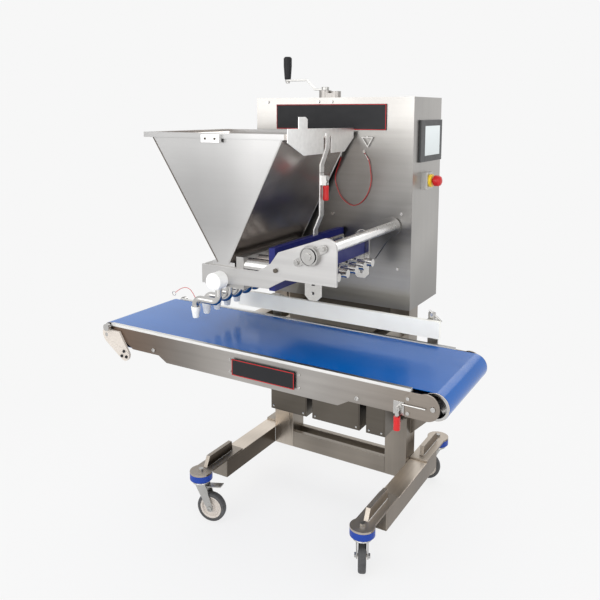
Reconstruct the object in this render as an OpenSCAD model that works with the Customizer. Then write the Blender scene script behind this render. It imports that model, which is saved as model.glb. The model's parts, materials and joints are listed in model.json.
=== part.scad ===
/* [Belt conveyor] */
// Width of the belt
belt_w = 406; // [390:2:424]
// Height of the belt's top face above the floor
belt_z = 854; // [846:1:862]
// Distance between the two drum axes
drum_span = 1390; // [1370:2:1430]
// Radius of the drums
drum_r = 43; // [41:0.5:45]
// Thickness of the belt
belt_t = 2.5; // [2:0.25:3]
// Thickness of the side panels
panel_t = 4; // [3:0.5:5]
// Distance from the belt's edge to a side panel's outer face
panel_reach = 19; // [17:0.5:22]
// Depth of the side panels along their middle
panel_mid_h = 102; // [96:1:110]
// Depth of the side panels at their ends
panel_end_h = 79; // [74:1:84]
// Length of the bare plate on the near side panel
plate_l = 264; // [200:2:300]
// Height of the bare plate on the near side panel
plate_h = 61; // [50:1:66]
// Half width of a tail link
link_r = 26; // [22:0.5:30]

/* [Guide rail] */
// Length of the guide rail
guide_l = 912; // [860:2:960]
// Height of the guide rail's face
guide_h = 66; // [56:1:72]
// Thickness of the guide rail
guide_t = 15; // [12:0.5:18]
// Radius of the guide rail's sliding rods
guide_rod_r = 8; // [6:0.5:9]

/* [Stand] */
// Distance from the belt's middle line forward to the front stems
stem_front = 36; // [24:1:50]
// Distance from the belt's middle line back to the rear stems
stem_rear = 775; // [760:1:800]
// Width of a floor rail
rail_w = 80; // [70:1:86]
// Height of a floor rail
rail_h = 76; // [64:1:84]
// Height of the floor rails' top face above the floor
rail_top = 207; // [200:1:216]
// Width of a mast post
post_w = 100; // [90:1:104]
// Depth of a mast post
post_d = 98; // [90:1:106]
// Height of the mast posts' top above the floor
post_top = 1450; // [1440:1:1464]

/* [Casters] */
// Radius of the wheels
wheel_r = 62.5; // [58:0.5:64]
// Width of the wheels
wheel_w = 30; // [26:1:34]
// Offset of the wheel axle from the swivel axis
caster_trail = 48; // [42:1:52]
// Radius of the bumper rings
bumper_r = 47.5; // [44:0.5:52]
// Height of the bumper rings
bumper_h = 28; // [22:0.5:32]

/* [Lift cabinet] */
// Width of the cabinet
cab_w = 738; // [730:1:760]
// Depth of the cabinet
cab_d = 314; // [304:1:330]
// Height of the cabinet
cab_h = 858; // [848:1:876]
// Thickness of the cabinet's sheet
cab_t = 3; // [2:0.25:4]
// Height of the cabinet's bottom edge above the floor
cab_z = 911; // [904:1:918]
// Length of the crank arm
crank_l = 187; // [160:1:190]
// Height of the crank grip
grip_h = 97; // [80:1:110]
// Diameter of the stop button's cap
stop_d = 44; // [36:1:48]

/* [Depositor head] */
// Distance between neighbouring stations
station_pitch = 68; // [66:0.5:69]
// Outer radius of a product cylinder
cyl_r = 29; // [28:0.25:30]
// Inner radius of a product cylinder
bore_r = 26; // [24:0.25:26.5]
// Radius of a piston rod
rod_r = 8; // [7:0.25:9]
// Radius of the valve spool
spool_r = 22; // [20:0.25:23]
// Outer radius of a spout tube
spout_r = 14; // [12:0.25:15]
// Radius of the tie tube
tube_r = 19; // [16:0.5:21]

/* [Hopper] */
// Thickness of the hopper's sheet
hop_t = 2.5; // [2:0.25:3.5]
// Length of the hopper along the stations
hop_l = 514; // [500:1:520]
// Height of the hopper's rim above the floor
hop_top = 1634; // [1624:1:1644]
// Height of the hopper's rim band
rim_h = 20; // [16:0.5:24]

/* [Hidden] */
$fn = 40;

seat = 0.3;
run = 0.05;

belt_gap = 0.3;
belt_or = drum_r + belt_gap + belt_t;
drum_x = drum_span/2;
drum_z = belt_z - belt_or;
end_x = drum_x + belt_or;
belt_y = belt_w/2;
panel_out = belt_y + panel_reach;
panel_in = panel_out - panel_t;
panel_top = belt_z - 8;
panel_left = -drum_x + 5;
panel_right = drum_x - 75;
panel_slant = 130;
deep_l = -384;
deep_r = 364;
deep_run = 40;
shaft_r = 8;
flange_t = 3.5;
flange_r = belt_or - 0.8;
drum_wall = 7;
drum_hub_r = 16;
drum_recess = 22;
strip_h = 11;
strip_in = 4.2;
bed_t = 3;
bed_top = belt_z - belt_t - belt_gap;
bed_l = 1240;
bed_lip = 14;
spreader_r = 15;
spreader_x = [-450, 0, 450];
end_plate_t = 6;
end_plate_x = panel_right - 18;
end_plate_c = drum_x - 22;
end_plate_r = 44;
end_flat = 4;
end_chamfer = [16, 18];
end_bolt_x = 12;
end_bolt_z = [-30, 18];
link_t = 10;
link_nose = [[-drum_x - 8, drum_z - 25], [-drum_x - 21, drum_z - 1], [-drum_x - 21, drum_z + 15],
             [-drum_x - 13, drum_z + 23]];
link_shoulder = [-drum_x + 70, drum_z + 23];
link_low = [-drum_x + 97, drum_z - 67];
link_bolt_at = 14;
knob_at = [-drum_x + 14, belt_z - 10];
knob_r = 15;
knob_h = 16;
knob_foot_r = 6;
bolt_r = 6;
bolt_h = 5;
plate_x = 69;
plate_z = belt_z - 58;
plate_t = 4;
standoff = 6;
latch_x = panel_right - 38;
latch_z = belt_z - 66;
latch_w = 36;
latch_h = 44;
latch_t = 4;
latch_pin_r = 4;
latch_hub_r = 9;
latch_hub_w = 10;
latch_drop = 68;
latch_grip_r = 10.7;
latch_grip_l = 44;
latch_boss = 6;
latch_rod_r = 3;

guide_x = 97;
guide_z = belt_z + 20;
guide_y = panel_out + 2;
guide_rod_x = [-195, 510];
guide_rod_z = guide_z + guide_h/2;
guide_rod_l = 92;
clamp_y = guide_y + guide_t + 6;
clamp_w = 40;
clamp_d = 40;
clamp_h = 50;
clamp_top = guide_rod_z + clamp_h/2;
foot_under = 64;
foot_z = belt_z - foot_under;
foot_t = 8;
foot_h = 40;
knob_stem_r = 4;
knob_cap_r = 14;
knob_cap_h = 28;
bar_r = 4;
bar_l = 62;
bar_tilt = 38;

cab_x = cab_w/2;
post_gap = 31;
rail_in = cab_x - cab_t - post_gap;
stem_x = rail_in + rail_w/2;
rail_bot = rail_top - rail_h;
rail_front = -stem_front + 128;
rail_back = stem_rear - 128;
tube_t = 4;
post_in = rail_in - post_w;
post_y = 480;
post_back = post_y + post_d;
beam_d = 24;
web_x = stem_x + rail_w/2;
web_t = 6;
web_low = 320;
web_high = 745;
arm_w = 60;
arm_h = 60;
arm_z = belt_z - 79;
box_front = 300;
box_back = 470;
box_z = 393;
box_h = 147;
box_x = [[-241, -58], [-30, 197], [226, 312]];
carrier_z = [410, 600];
mast_cover = [250, 3, belt_z + 31];
cover_t = 2;
box_t = 3;
cover_in = 5;

bracket_t = 8;
rib_w = 18;
rib_h = 42;
bracket_l = 246;
ring_z = rail_top - bumper_h;
crown_top = ring_z - seat;
crown_t = 8;
crown_r = 34;
stem_r = 6;
nut_r = 11;
nut_h = 9;
leg_t = 4;
leg_in = wheel_w/2 + 4;
leg_foot = 14;
axle_r = 6;
tyre_in = 46;
hub_r = 18;
pedal_x = 26;
pedal_z = crown_top - crown_t - 20;
pedal_pin_r = 4;
pedal_hub_r = 8;
pedal_l = 72;
pedal_t = 4;
pedal_tilt = 8;
pedal_wall = 1;
caster_turn = [12, 114, 187, 172];
stem_at = [[-stem_x, -stem_front], [stem_x, -stem_front], [stem_x, stem_rear], [-stem_x, stem_rear]];

cab_front = 394;
cab_back = cab_front + cab_d;
cab_top = cab_z + cab_h;
pad_in = 10;
pad_h = 40;
pad_low = cab_z + 4;
pad_high = post_top - 170;
crank_x = -50;
crank_y = 440;
screw_r = 10;
screw_low = post_top - 150;
bracket_r = 26;
bracket_h = 31;
crank_z = cab_top + bracket_h + seat;
crank_t = 8;
crank_w = 24;
crank_rise = 41;
crank_s0 = 48;
crank_s1 = 87;
crank_top = crank_z + crank_rise + crank_t;
grip_base = crank_top + seat;
grip_r = 18;
grip_neck_r = 14;
grip_pin_r = 5;
grip_cap = 5;
nut_w = 70;
head_t = 12;
nut_drop = 22;
sign_w = 517;
sign_x = -4.5;
sign_z = cab_top - 132;
sign_h = 105;
sign_t = 6;
screen_y = [451, 697];
screen_drop = 91;
screen_h = 169;
screen_z = [cab_top - screen_drop - screen_h, cab_top - screen_drop];
screen_t = 9;
screen_in = 24;
screen_chin = 48;
screen_deep = 2;
stop_y = 519;
stop_z = cab_top - 336;
stop_w = 66;
stop_h = 70;
stop_deep = 27;
collar_r = stop_d/2 + 4;
collar_t = 10;
stop_stem_r = 8;
stop_gap = 6;
stop_cap_t = 32;
hanger_r = 2;
hanger_in = 0.78;
hanger_y = cab_front - 8;
hanger_pts = [[147, 1609], [201, 1610], [176, 1567]];
pin_x = 160;
pin_z = 1550;
eye_x = 60;
eye_z = 1562;
stud_r = 4;
bolt_at = [[17, 1285], [326, 1306], [314, 1079], [-57, 1752], [6, 1752], [-310, 1752]];

head_front = -165;
head_t_near = 10;
head_in = head_front + head_t_near;
head_far = cab_front - 10;
body_low = 1066;
body_top = body_low + 80;
arm_low = body_low + 6;
arm_top = body_top - 2;
arm_left = -245;
arm_right = 326;
lobe = [288, 1253];
lobe_r = 38;
lobe_ang = 24;
head_under = [[-87, arm_low + 12], [50, arm_low + 14], [124, 1127]];
head_near_end = [[arm_right, 1127], [arm_right, lobe[1]]];
head_far_end = [[214, 1110], [290, 1222]];
head_over = [[95, 1223], [64, 1180], [8, arm_top]];
bear_x = 229;
bear_z = 1226;
bear_shaft_r = 10;
bear_cap_r = 35;
bear_flange = 9;
bear_deep = 20;
bear_span = 51;
bear_lip = 3;
bear_groove_r = 31;
bear_ring_r = 27;
bear_nose_r = 13;
bear_lean = 29;
bear_ear_r = 14;
bear_reach = norm([bear_span, bear_lean]);
bear_bolt_r = 8;
stud_x = 86;
stud_z = 1157;
station_n = 5;
station_mid = 11;
station_z = 1152;
body_left = -238;
body_right = -60;
port_x = -92;
port_top = body_top + 40;
spool_x = -156;
spool_up = 28;
spool_z = body_low + spool_up;
spool_knob_l = 56;
spool_knob_r = 33;
spool_nose = 8;
spool_flat = [30, 5];
spool_front = head_front - spool_knob_l;
spool_back = 370;
way_r = 10;
feed_w = 26;
feed_l = 44;
drop_x = -198;
bend_r = 26;
spout_run = 62;
spout_wall = 2.5;
spout_top = 50;
spout_low = 6;
spout_end = drop_x - 2*bend_r - spout_run;
spout_z = body_low - spout_top - 2*bend_r - spout_low;
tip_h = 44;
tip_top_r = 18;
tip_end_r = 10;
cyl_plate_x = [51, 76];
cyl_plate_low = 1078;
cyl_plate_top = 1233;
cyl_plate_y = [head_in, 374];
drive_x = [217, 241];
drive_y = [-144, 228];
drive_z = [1126, 1166, 1213];
drive_over = 3;
pin_r = 6;
pin_drop = 90;
lever_t = 7;
lever_w = 64;
lever_slot = [7.5, 10, 18];
lever_len = 160;
lever_cut = 16;
lever_hole = 134;
piston_x = [0, 20];
knob_x = 43;
rod_knob_r = 15;
air_y = [-102, 102];
air_z = 1186;
air_r = 17;
air_end = 174;
air_block = 22;
air_rod_r = 6;
air_rod_in = 44;
air_bore_in = 3;
bail_x = 112;
bail_z = 1214;
bail_r = 7;
bail_far = 295;
bail_drop = 24;

hop_near = -150;
hop_far = hop_near + hop_l;
foot_x = [-206, -103];
foot_top = body_top + 13;
hop_l0 = -180;
hop_r0 = -130;
hop_l1 = -492;
hop_r1 = 108;
rim_x = [-527, 116];
rim_y = [hop_near - 8, hop_far + 8];
guard_t = 3;
guard_x = rim_x[1];
slot_y = [120, 180];
slot_drop = 14;
slot_over = 20;
guard_in = 20;
guard_high = [18, 12];
guard_low = [31, 28];
guard_deep = 80;
guard_cut = [130, 80];
tab_y = [-63, 0];
tab_low = 8;
tab_high = 58;
tab_cut = [14, 8];
clip_x = [-234, -150];
clip_out = 14;
clip_z = [-34, -5];
strap_y = 150;
strap_w = 30;
strap_t = 5;
strap_drop = 156;
strap_split = hop_top - strap_drop;
strap_gap = 2;
strap_bend = 28;
strap_reach = 60;
strap_end = 4;
strap_knee = [22, 82];
knee_step = 2;
strap_foot = 66;
strap_mid = 92;
strap_top = guard_x;
toggle_under = 32;
toggle_z = strap_split - toggle_under;
toggle_w = 22;
toggle_out = 16;
toggle_pin_r = 4;
toggle_hub_r = 8;
toggle_drop = 72;
toggle_grip_r = 9.5;
toggle_grip_l = 56;

front_y = -(panel_out + latch_t + latch_boss + seat + latch_hub_w/2 + latch_grip_r);
rear_y = stem_rear + bumper_r;
mid_y = (front_y + rear_y)/2;

cord_r = 1.5;
cord_steps = 6;
cord_y = cab_front - 6;
cord_pts = [[60, 1555.5], [50, 1510], [32, 1460], [30, 1420], [52, 1366], [84, 1336], [113, 1326],
            [146, 1338], [176, 1374], [192, 1424], [190, 1470], [182, 1512], [161.6, 1543.5]];

steel = [0.76, 0.75, 0.73];
dark_steel = [0.55, 0.54, 0.53];
white = [0.93, 0.93, 0.91];
cream = [0.88, 0.86, 0.8];
blue = [0.11, 0.34, 0.7];
deep_blue = [0.12, 0.13, 0.45];
black = [0.06, 0.06, 0.07];
red = [0.78, 0.1, 0.1];
yellow = [0.93, 0.78, 0.1];
grey = [0.45, 0.46, 0.47];

function cord_at(i) = cord_pts[min(max(i, 0), len(cord_pts) - 1)];
function cord_between(i, t) = let (a = cord_at(i - 1), b = cord_at(i), c = cord_at(i + 1), d = cord_at(i + 2))
  b + (c - a)*t/2 + (2*a - 5*b + 4*c - d)*t*t/2 + (3*b - a - 3*c + d)*t*t*t/2;
function cord_line() = concat(
  [for (i = [0:len(cord_pts) - 2]) for (k = [0:cord_steps - 1]) cord_between(i, k/cord_steps)],
  [cord_at(len(cord_pts) - 1)]);
function touch(c, r, p, side) =
  let (d = p - c, a = atan2(d[1], d[0]) + side*acos(r/norm(d))) c + r*[cos(a), sin(a)];
function station_y(i) = station_mid + (i - (station_n - 1)/2)*station_pitch;

module place() {
  translate([0, -mid_y, 0]) children();
}

module along_y(y0, y1) {
  translate([0, y1, 0]) rotate([90, 0, 0]) linear_extrude(y1 - y0) children();
}

module along_x(x0, x1) {
  translate([x0, 0, 0]) rotate([90, 0, 90]) linear_extrude(x1 - x0) children();
}

module rod_y(r, y0, y1, x, z) {
  translate([x, y0, z]) rotate([-90, 0, 0]) cylinder(r = r, h = y1 - y0);
}

module rod_x(r, x0, x1, y, z) {
  translate([x0, y, z]) rotate([0, 90, 0]) cylinder(r = r, h = x1 - x0);
}

module rod_z(r, z0, z1, x, y) {
  translate([x, y, z0]) cylinder(r = r, h = z1 - z0);
}

module block(x0, x1, y0, y1, z0, z1) {
  translate([x0, y0, z0]) cube([x1 - x0, y1 - y0, z1 - z0]);
}

module both_x() {
  children();
  mirror([1, 0, 0]) children();
}

module both_y() {
  children();
  mirror([0, 1, 0]) children();
}

module base_frame() {
  color(steel) place() {
    both_x() {
      difference() {
        block(rail_in, rail_in + rail_w, rail_front, rail_back, rail_bot, rail_top);
        block(rail_in + tube_t, rail_in + rail_w - tube_t, rail_front + tube_t, rail_back - tube_t,
              rail_bot + tube_t, rail_top - tube_t);
      }
    }
    beam(post_y);
    beam(post_back - beam_d);
  }
}

module beam(y0) {
  difference() {
    block(-post_in, post_in, y0, y0 + beam_d, rail_bot, rail_top);
    block(-post_in - 1, post_in + 1, y0 + tube_t, y0 + beam_d - tube_t, rail_bot + tube_t, rail_top - tube_t);
  }
}

module mast_posts() {
  color(steel) place() both_x() {
    difference() {
      union() {
        block(post_in, rail_in, post_y, post_back, rail_bot, post_top);
        along_y(post_y + post_d/2 - web_t/2, post_y + post_d/2 + web_t/2)
          polygon([[rail_in - 1, web_low], [web_x, web_low + web_x - rail_in], [web_x, web_high],
                   [rail_in - 1, web_high]]);
      }
      block(post_in + tube_t, rail_in - tube_t, post_y + tube_t, post_back - tube_t, rail_bot - 1, post_top + 1);
    }
    difference() {
      block(post_in + post_w/2 - arm_w/2, post_in + post_w/2 + arm_w/2, panel_out, post_y, arm_z, arm_z + arm_h);
      block(post_in + post_w/2 - arm_w/2 + tube_t, post_in + post_w/2 + arm_w/2 - tube_t, panel_out - 1,
            post_y + 1, arm_z + tube_t, arm_z + arm_h - tube_t);
    }
  }
}

module mast_head() {
  color(dark_steel) place() difference() {
    union() {
      block(-rail_in, rail_in, post_y, post_back, post_top, post_top + head_t);
      block(crank_x - nut_w/2, crank_x + nut_w/2, crank_y, post_y + 1, post_top - nut_drop, post_top + head_t);
      rod_z(screw_r*2, post_top - nut_drop, post_top + head_t + screw_r, crank_x, crank_y);
    }
    rod_z(screw_r + run, post_top - nut_drop - 1, post_top + head_t + screw_r + 1, crank_x, crank_y);
  }
}

module at_stem(i) {
  translate([stem_at[i][0], stem_at[i][1], 0]) children();
}

module bracket_local() {
  difference() {
    union() {
      rod_z(bumper_r, rail_top, rail_top + bracket_t, 0, 0);
      block(-bumper_r + 8, bumper_r - 8, 0, bracket_l, rail_top, rail_top + bracket_t);
      along_x(-rib_w/2, rib_w/2)
        polygon([[24, rail_top + 1], [50, rail_top + bracket_t + rib_h],
                 [bracket_l - 40, rail_top + bracket_t + rib_h], [bracket_l - 34, rail_top + 1]]);
    }
    rod_z(stem_r + run, rail_top - 1, rail_top + bracket_t + 1, 0, 0);
  }
}

module caster_brackets() {
  color(steel) place() for (i = [0:3]) at_stem(i) rotate([0, 0, i < 2 ? 0 : 180]) bracket_local();
}

module bumper_rings() {
  color(blue) place() for (i = [0:3]) at_stem(i) difference() {
    rod_z(bumper_r, ring_z, rail_top, 0, 0);
    rod_z(stem_r + run, ring_z - 1, rail_top + 1, 0, 0);
  }
}

module fork_local() {
  rod_z(crown_r, crown_top - crown_t, crown_top, 0, 0);
  rod_z(stem_r, crown_top - 1, rail_top + bracket_t + nut_h, 0, 0);
  translate([0, 0, rail_top + bracket_t + seat]) cylinder(r = nut_r, h = nut_h, $fn = 6);
  both_y() along_y(leg_in, leg_in + leg_t) {
    polygon([[-24, crown_top - crown_t + 1], [26, crown_top - crown_t + 1],
             [caster_trail + leg_foot, wheel_r], [caster_trail - leg_foot, wheel_r]]);
    translate([caster_trail, wheel_r]) circle(r = leg_foot);
  }
  rod_y(axle_r, -leg_in - leg_t - 3, leg_in + leg_t + 3, caster_trail, wheel_r);
}

module fork(i, braked) {
  color(dark_steel) place() at_stem(i) rotate([0, 0, caster_turn[i]]) {
    fork_local();
    if (braked) rod_y(pedal_pin_r, -leg_in - 1, leg_in + 1, pedal_x, pedal_z);
  }
}

module fork_fl() {
  fork(0, true);
}

module fork_fr() {
  fork(1, true);
}

module fork_rr() {
  fork(2, false);
}

module fork_rl() {
  fork(3, false);
}

module wheel(i) {
  color(grey) place() at_stem(i) rotate([0, 0, caster_turn[i]]) translate([caster_trail, 0, wheel_r])
    rotate([90, 0, 0]) {
      rotate_extrude() polygon([[tyre_in + 0.02, -wheel_w/2], [wheel_r - 5, -wheel_w/2],
                                [wheel_r, -wheel_w/2 + 6], [wheel_r, wheel_w/2 - 6],
                                [wheel_r - 5, wheel_w/2], [tyre_in + 0.02, wheel_w/2]]);
      rotate_extrude() polygon([[axle_r + run, -wheel_w/2 - 2], [hub_r, -wheel_w/2 - 2], [hub_r, -7],
                                [tyre_in - 6, -7], [tyre_in - 6, -wheel_w/2 + 2], [tyre_in, -wheel_w/2 + 2],
                                [tyre_in, wheel_w/2 - 2], [tyre_in - 6, wheel_w/2 - 2], [tyre_in - 6, 7],
                                [hub_r, 7], [hub_r, wheel_w/2 + 2], [axle_r + run, wheel_w/2 + 2]]);
    }
}

module wheel_fl() {
  wheel(0);
}

module wheel_fr() {
  wheel(1);
}

module wheel_rr() {
  wheel(2);
}

module wheel_rl() {
  wheel(3);
}

module pedal(i) {
  pedal_w = 2*leg_in - 2;
  color(dark_steel) place() at_stem(i) rotate([0, 0, caster_turn[i]]) difference() {
    union() {
      rod_y(pedal_hub_r, -pedal_w/2, pedal_w/2, pedal_x, pedal_z);
      translate([pedal_x, 0, pedal_z]) rotate([0, -pedal_tilt, 0])
        block(pedal_pin_r + pedal_wall, pedal_l, -pedal_w/2 + pedal_wall, pedal_w/2 - pedal_wall,
              pedal_wall, pedal_wall + pedal_t);
    }
    rod_y(pedal_pin_r + run, -pedal_w, pedal_w, pedal_x, pedal_z);
  }
}

module pedal_fl() {
  pedal(0);
}

module pedal_fr() {
  pedal(1);
}

module conveyor_panels() {
  color(steel) place() both_y() along_y(panel_in, panel_out)
    polygon([[panel_left, panel_top], [panel_left + panel_slant, belt_z - panel_end_h - 8],
             [deep_l - deep_run, belt_z - panel_end_h - 8], [deep_l, belt_z - panel_mid_h - 8],
             [deep_r, belt_z - panel_mid_h - 8], [deep_r + deep_run, belt_z - panel_end_h - 8],
             [panel_right, belt_z - panel_end_h - 8], [panel_right, panel_top]]);
}

module end_plates() {
  color(steel) place() both_y() difference() {
    along_y(panel_out, panel_out + end_plate_t) {
      translate([end_plate_c, drum_z]) circle(r = end_plate_r);
      polygon([[end_plate_x, drum_z - end_plate_r], [end_plate_c, drum_z - end_plate_r],
               [end_plate_c, drum_z + end_plate_r - end_flat],
               [end_plate_x + end_chamfer[0], drum_z + end_plate_r - end_flat],
               [end_plate_x, drum_z + end_plate_r - end_flat - end_chamfer[1]]]);
    }
    rod_y(shaft_r + run, panel_out - 1, panel_out + end_plate_t + 1, drum_x, drum_z);
  }
}

module tail_links() {
  color(cream) place() both_y() difference() {
    along_y(panel_out, panel_out + link_t) {
      polygon(concat(link_nose, [link_shoulder, touch(link_low, link_r, link_shoulder, -1),
                                 touch(link_low, link_r, link_nose[0], 1)]));
      translate(link_low) circle(r = link_r);
    }
    rod_y(shaft_r + run, panel_out - 1, panel_out + link_t + 1, -drum_x, drum_z);
  }
}

module link_bolts() {
  translate([link_low[0], 0, link_low[1]]) for (a = [90, 210, 330])
    translate(link_bolt_at*[cos(a), 0, sin(a)])
      rod_y(bolt_r, panel_out + link_t, panel_out + link_t + bolt_h, 0, 0);
  rod_y(knob_foot_r, panel_out, panel_out + link_t + 1, knob_at[0], knob_at[1]);
  rod_y(knob_r, panel_out + link_t, panel_out + link_t + knob_h, knob_at[0], knob_at[1]);
}

module end_bolts() {
  for (z = end_bolt_z) rod_y(bolt_r, panel_out + end_plate_t, panel_out + end_plate_t + bolt_h,
                             end_plate_x + end_bolt_x, drum_z + z);
}

module plate_studs() {
  for (x = [-1, 1]) for (z = [-1, 1]) rod_y(bolt_r, -panel_out - standoff, -panel_out,
                                            plate_x + x*(plate_l/2 - 12), plate_z + z*(plate_h/2 - 12));
}

module latch_base() {
  block(latch_x - latch_w/2, latch_x + latch_w/2, -panel_out - latch_t, -panel_out,
        latch_z - latch_h/2, latch_z + latch_h/2);
  rod_y(latch_pin_r, -panel_out - latch_t - latch_boss - latch_hub_w - 2, -panel_out - 1, latch_x, latch_z);
  rod_y(latch_hub_r, -panel_out - latch_t - latch_boss, -panel_out - 1, latch_x, latch_z);
  rod_x(latch_rod_r, latch_x + latch_w/2 - 4, end_plate_c, -panel_out - end_plate_t - latch_rod_r - seat,
        latch_z + latch_h/2 - 5);
}

module conveyor_fittings() {
  color(steel) place() {
    both_y() {
      link_bolts();
      end_bolts();
    }
    plate_studs();
    latch_base();
  }
}

module latch_handle() {
  hub_y = -panel_out - latch_t - latch_boss - seat;
  mid = hub_y - latch_hub_w/2;
  color(red) place() difference() {
    union() {
      rod_y(latch_hub_r, hub_y - latch_hub_w, hub_y, latch_x, latch_z);
      block(latch_x - 5, latch_x + 5, hub_y - latch_hub_w, hub_y, latch_z - latch_drop + latch_grip_l, latch_z);
      rod_z(latch_grip_r, latch_z - latch_drop, latch_z - latch_drop + latch_grip_l, latch_x, mid);
    }
    rod_y(latch_pin_r + run, hub_y - latch_hub_w - 20, hub_y + 1, latch_x, latch_z);
  }
}

module wear_strips() {
  color(white) place() both_y()
    block(panel_left + 13, panel_right, belt_y + strip_in, panel_out, panel_top, panel_top + strip_h);
}

module slider_bed() {
  color(steel) place() {
    block(-bed_l/2, bed_l/2, -belt_y, belt_y, bed_top - bed_t, bed_top);
    both_y() along_x(-bed_l/2, bed_l/2)
      polygon([[belt_y - bed_lip, bed_top - bed_lip], [panel_in, bed_top - bed_lip], [panel_in, panel_top - 1],
               [belt_y, panel_top - 1], [belt_y, bed_top - 1], [belt_y - bed_lip, bed_top - 1]]);
    for (x = spreader_x) rod_y(spreader_r, -panel_in, panel_in, x, drum_z);
  }
}

module belt_outline(r) {
  translate([-drum_x, drum_z]) circle(r = r, $fn = 64);
  translate([drum_x, drum_z]) circle(r = r, $fn = 64);
  translate([-drum_x, drum_z - r]) square([drum_span, 2*r]);
}

module belt() {
  color(blue) place() along_y(-belt_y, belt_y) difference() {
    belt_outline(belt_or);
    belt_outline(drum_r + belt_gap);
  }
}

module drum(x) {
  face_y = belt_y + seat + flange_t;
  rod_y(drum_r, -belt_y + drum_recess, belt_y - drum_recess, x, drum_z);
  both_y() {
    difference() {
      union() {
        rod_y(drum_r, belt_y - drum_recess - 1, face_y, x, drum_z);
        rod_y(flange_r, belt_y + seat, face_y, x, drum_z);
      }
      rod_y(drum_r - drum_wall, belt_y - drum_recess, face_y + 1, x, drum_z);
    }
    rod_y(drum_hub_r, belt_y - drum_recess - 1, belt_y, x, drum_z);
  }
  rod_y(shaft_r, -panel_out - end_plate_t - 3, panel_out + end_plate_t + 3, x, drum_z);
}

module drive_drum() {
  color(cream) place() drum(drum_x);
}

module tail_drum() {
  color(cream) place() drum(-drum_x);
}

module panel_plate() {
  color(black) place()
    block(plate_x - plate_l/2, plate_x + plate_l/2, -panel_out - standoff - plate_t, -panel_out - standoff,
          plate_z - plate_h/2, plate_z + plate_h/2);
}

module guide_rail() {
  color(white) place() {
    block(guide_x - guide_l/2, guide_x + guide_l/2, guide_y, guide_y + guide_t, guide_z, guide_z + guide_h);
    for (x = guide_rod_x) rod_y(guide_rod_r, guide_y + guide_t, guide_y + guide_t + guide_rod_l, x, guide_rod_z);
  }
}

module rail_brackets() {
  clamp_end = clamp_y + clamp_d;
  color(dark_steel) place() for (x = guide_rod_x) difference() {
    along_x(x - clamp_w/2, x + clamp_w/2)
      polygon([[panel_out, foot_z], [clamp_end, foot_z], [clamp_end, clamp_top], [clamp_y, clamp_top],
               [clamp_y, clamp_top - clamp_h], [clamp_end - foot_t, clamp_top - clamp_h],
               [clamp_end - foot_t, foot_z + foot_t], [panel_out + foot_t, foot_z + foot_t],
               [panel_out + foot_t, foot_z + foot_h], [panel_out, foot_z + foot_h]]);
    rod_y(guide_rod_r + run, clamp_y - 1, clamp_end + 1, x, guide_rod_z);
    rod_z(knob_stem_r + run, guide_rod_z, clamp_top + 1, x, clamp_y + clamp_d/2);
  }
}

module rail_knob() {
  color(dark_steel) place() translate([guide_rod_x[1], clamp_y + clamp_d/2, 0]) {
    rod_z(knob_stem_r, guide_rod_z + guide_rod_r + 1, clamp_top + 6, 0, 0);
    rod_z(knob_cap_r, clamp_top + seat, clamp_top + knob_cap_h, 0, 0);
    translate([0, 0, clamp_top + knob_cap_h]) rotate([0, 90 + bar_tilt, 0])
      translate([0, 0, -14]) cylinder(r = bar_r, h = bar_l);
  }
}

module control_boxes() {
  color(steel) place() {
    block(-rail_in, rail_in, box_back, post_y, carrier_z[0], carrier_z[1]);
    block(-mast_cover[0], mast_cover[0], post_y - mast_cover[1], post_y, carrier_z[1] - 1, mast_cover[2]);
    for (b = box_x) {
      difference() {
        block(b[0], b[1], box_front + cover_t, box_back, box_z, box_z + box_h);
        block(b[0] + box_t, b[1] - box_t, box_front + cover_t + box_t, box_back - box_t, box_z + box_t,
              box_z + box_h - box_t);
      }
      block(b[0] + cover_in, b[1] - cover_in, box_front, box_front + cover_t, box_z + cover_in,
            box_z + box_h - cover_in);
    }
  }
}

module cabinet_panels() {
  color(steel) place() {
    difference() {
      block(-cab_x, cab_x, cab_front, cab_front + cab_t, cab_z, cab_top);
      rod_y(bear_shaft_r + 4, cab_front - 1, cab_front + cab_t + 1, bear_x, bear_z);
    }
    both_x() block(cab_x - cab_t, cab_x, cab_front + cab_t, cab_back - cab_t, cab_z, cab_top);
    difference() {
      block(-cab_x + cab_t, cab_x - cab_t, cab_front + cab_t, cab_back - cab_t, cab_top - cab_t, cab_top);
      rod_z(screw_r + 2, cab_top - cab_t - 1, cab_top + 1, crank_x, crank_y);
    }
  }
}

module cabinet_door() {
  color(steel) place() {
    block(-cab_x, cab_x, cab_back - cab_t, cab_back, cab_z, cab_top);
    for (x = [-1, 1]) for (z = [0.08, 0.5, 0.92])
      rod_y(bolt_r, cab_back, cab_back + bolt_h, x*(cab_x - 20), cab_z + z*cab_h);
  }
}

module guide_pads() {
  color(white) place() for (z = [pad_low, pad_high]) both_x() difference() {
    block(post_in - pad_in, cab_x - cab_t, post_y - pad_in, post_back + pad_in, z, z + pad_h);
    block(post_in - seat, rail_in + seat, post_y - seat, post_back + seat, z - 1, z + pad_h + 1);
  }
}

module cabinet_plate() {
  color(black) place()
    block(sign_x - sign_w/2, sign_x + sign_w/2, cab_front - sign_t, cab_front, sign_z, sign_z + sign_h);
}

module screen_housing() {
  color(black) place() difference() {
    block(cab_x, cab_x + screen_t, screen_y[0], screen_y[1], screen_z[0], screen_z[1]);
    block(cab_x + screen_t - screen_deep, cab_x + screen_t + 1, screen_y[0] + screen_chin,
          screen_y[1] - screen_in, screen_z[0] + screen_in, screen_z[1] - screen_in);
  }
}

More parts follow.
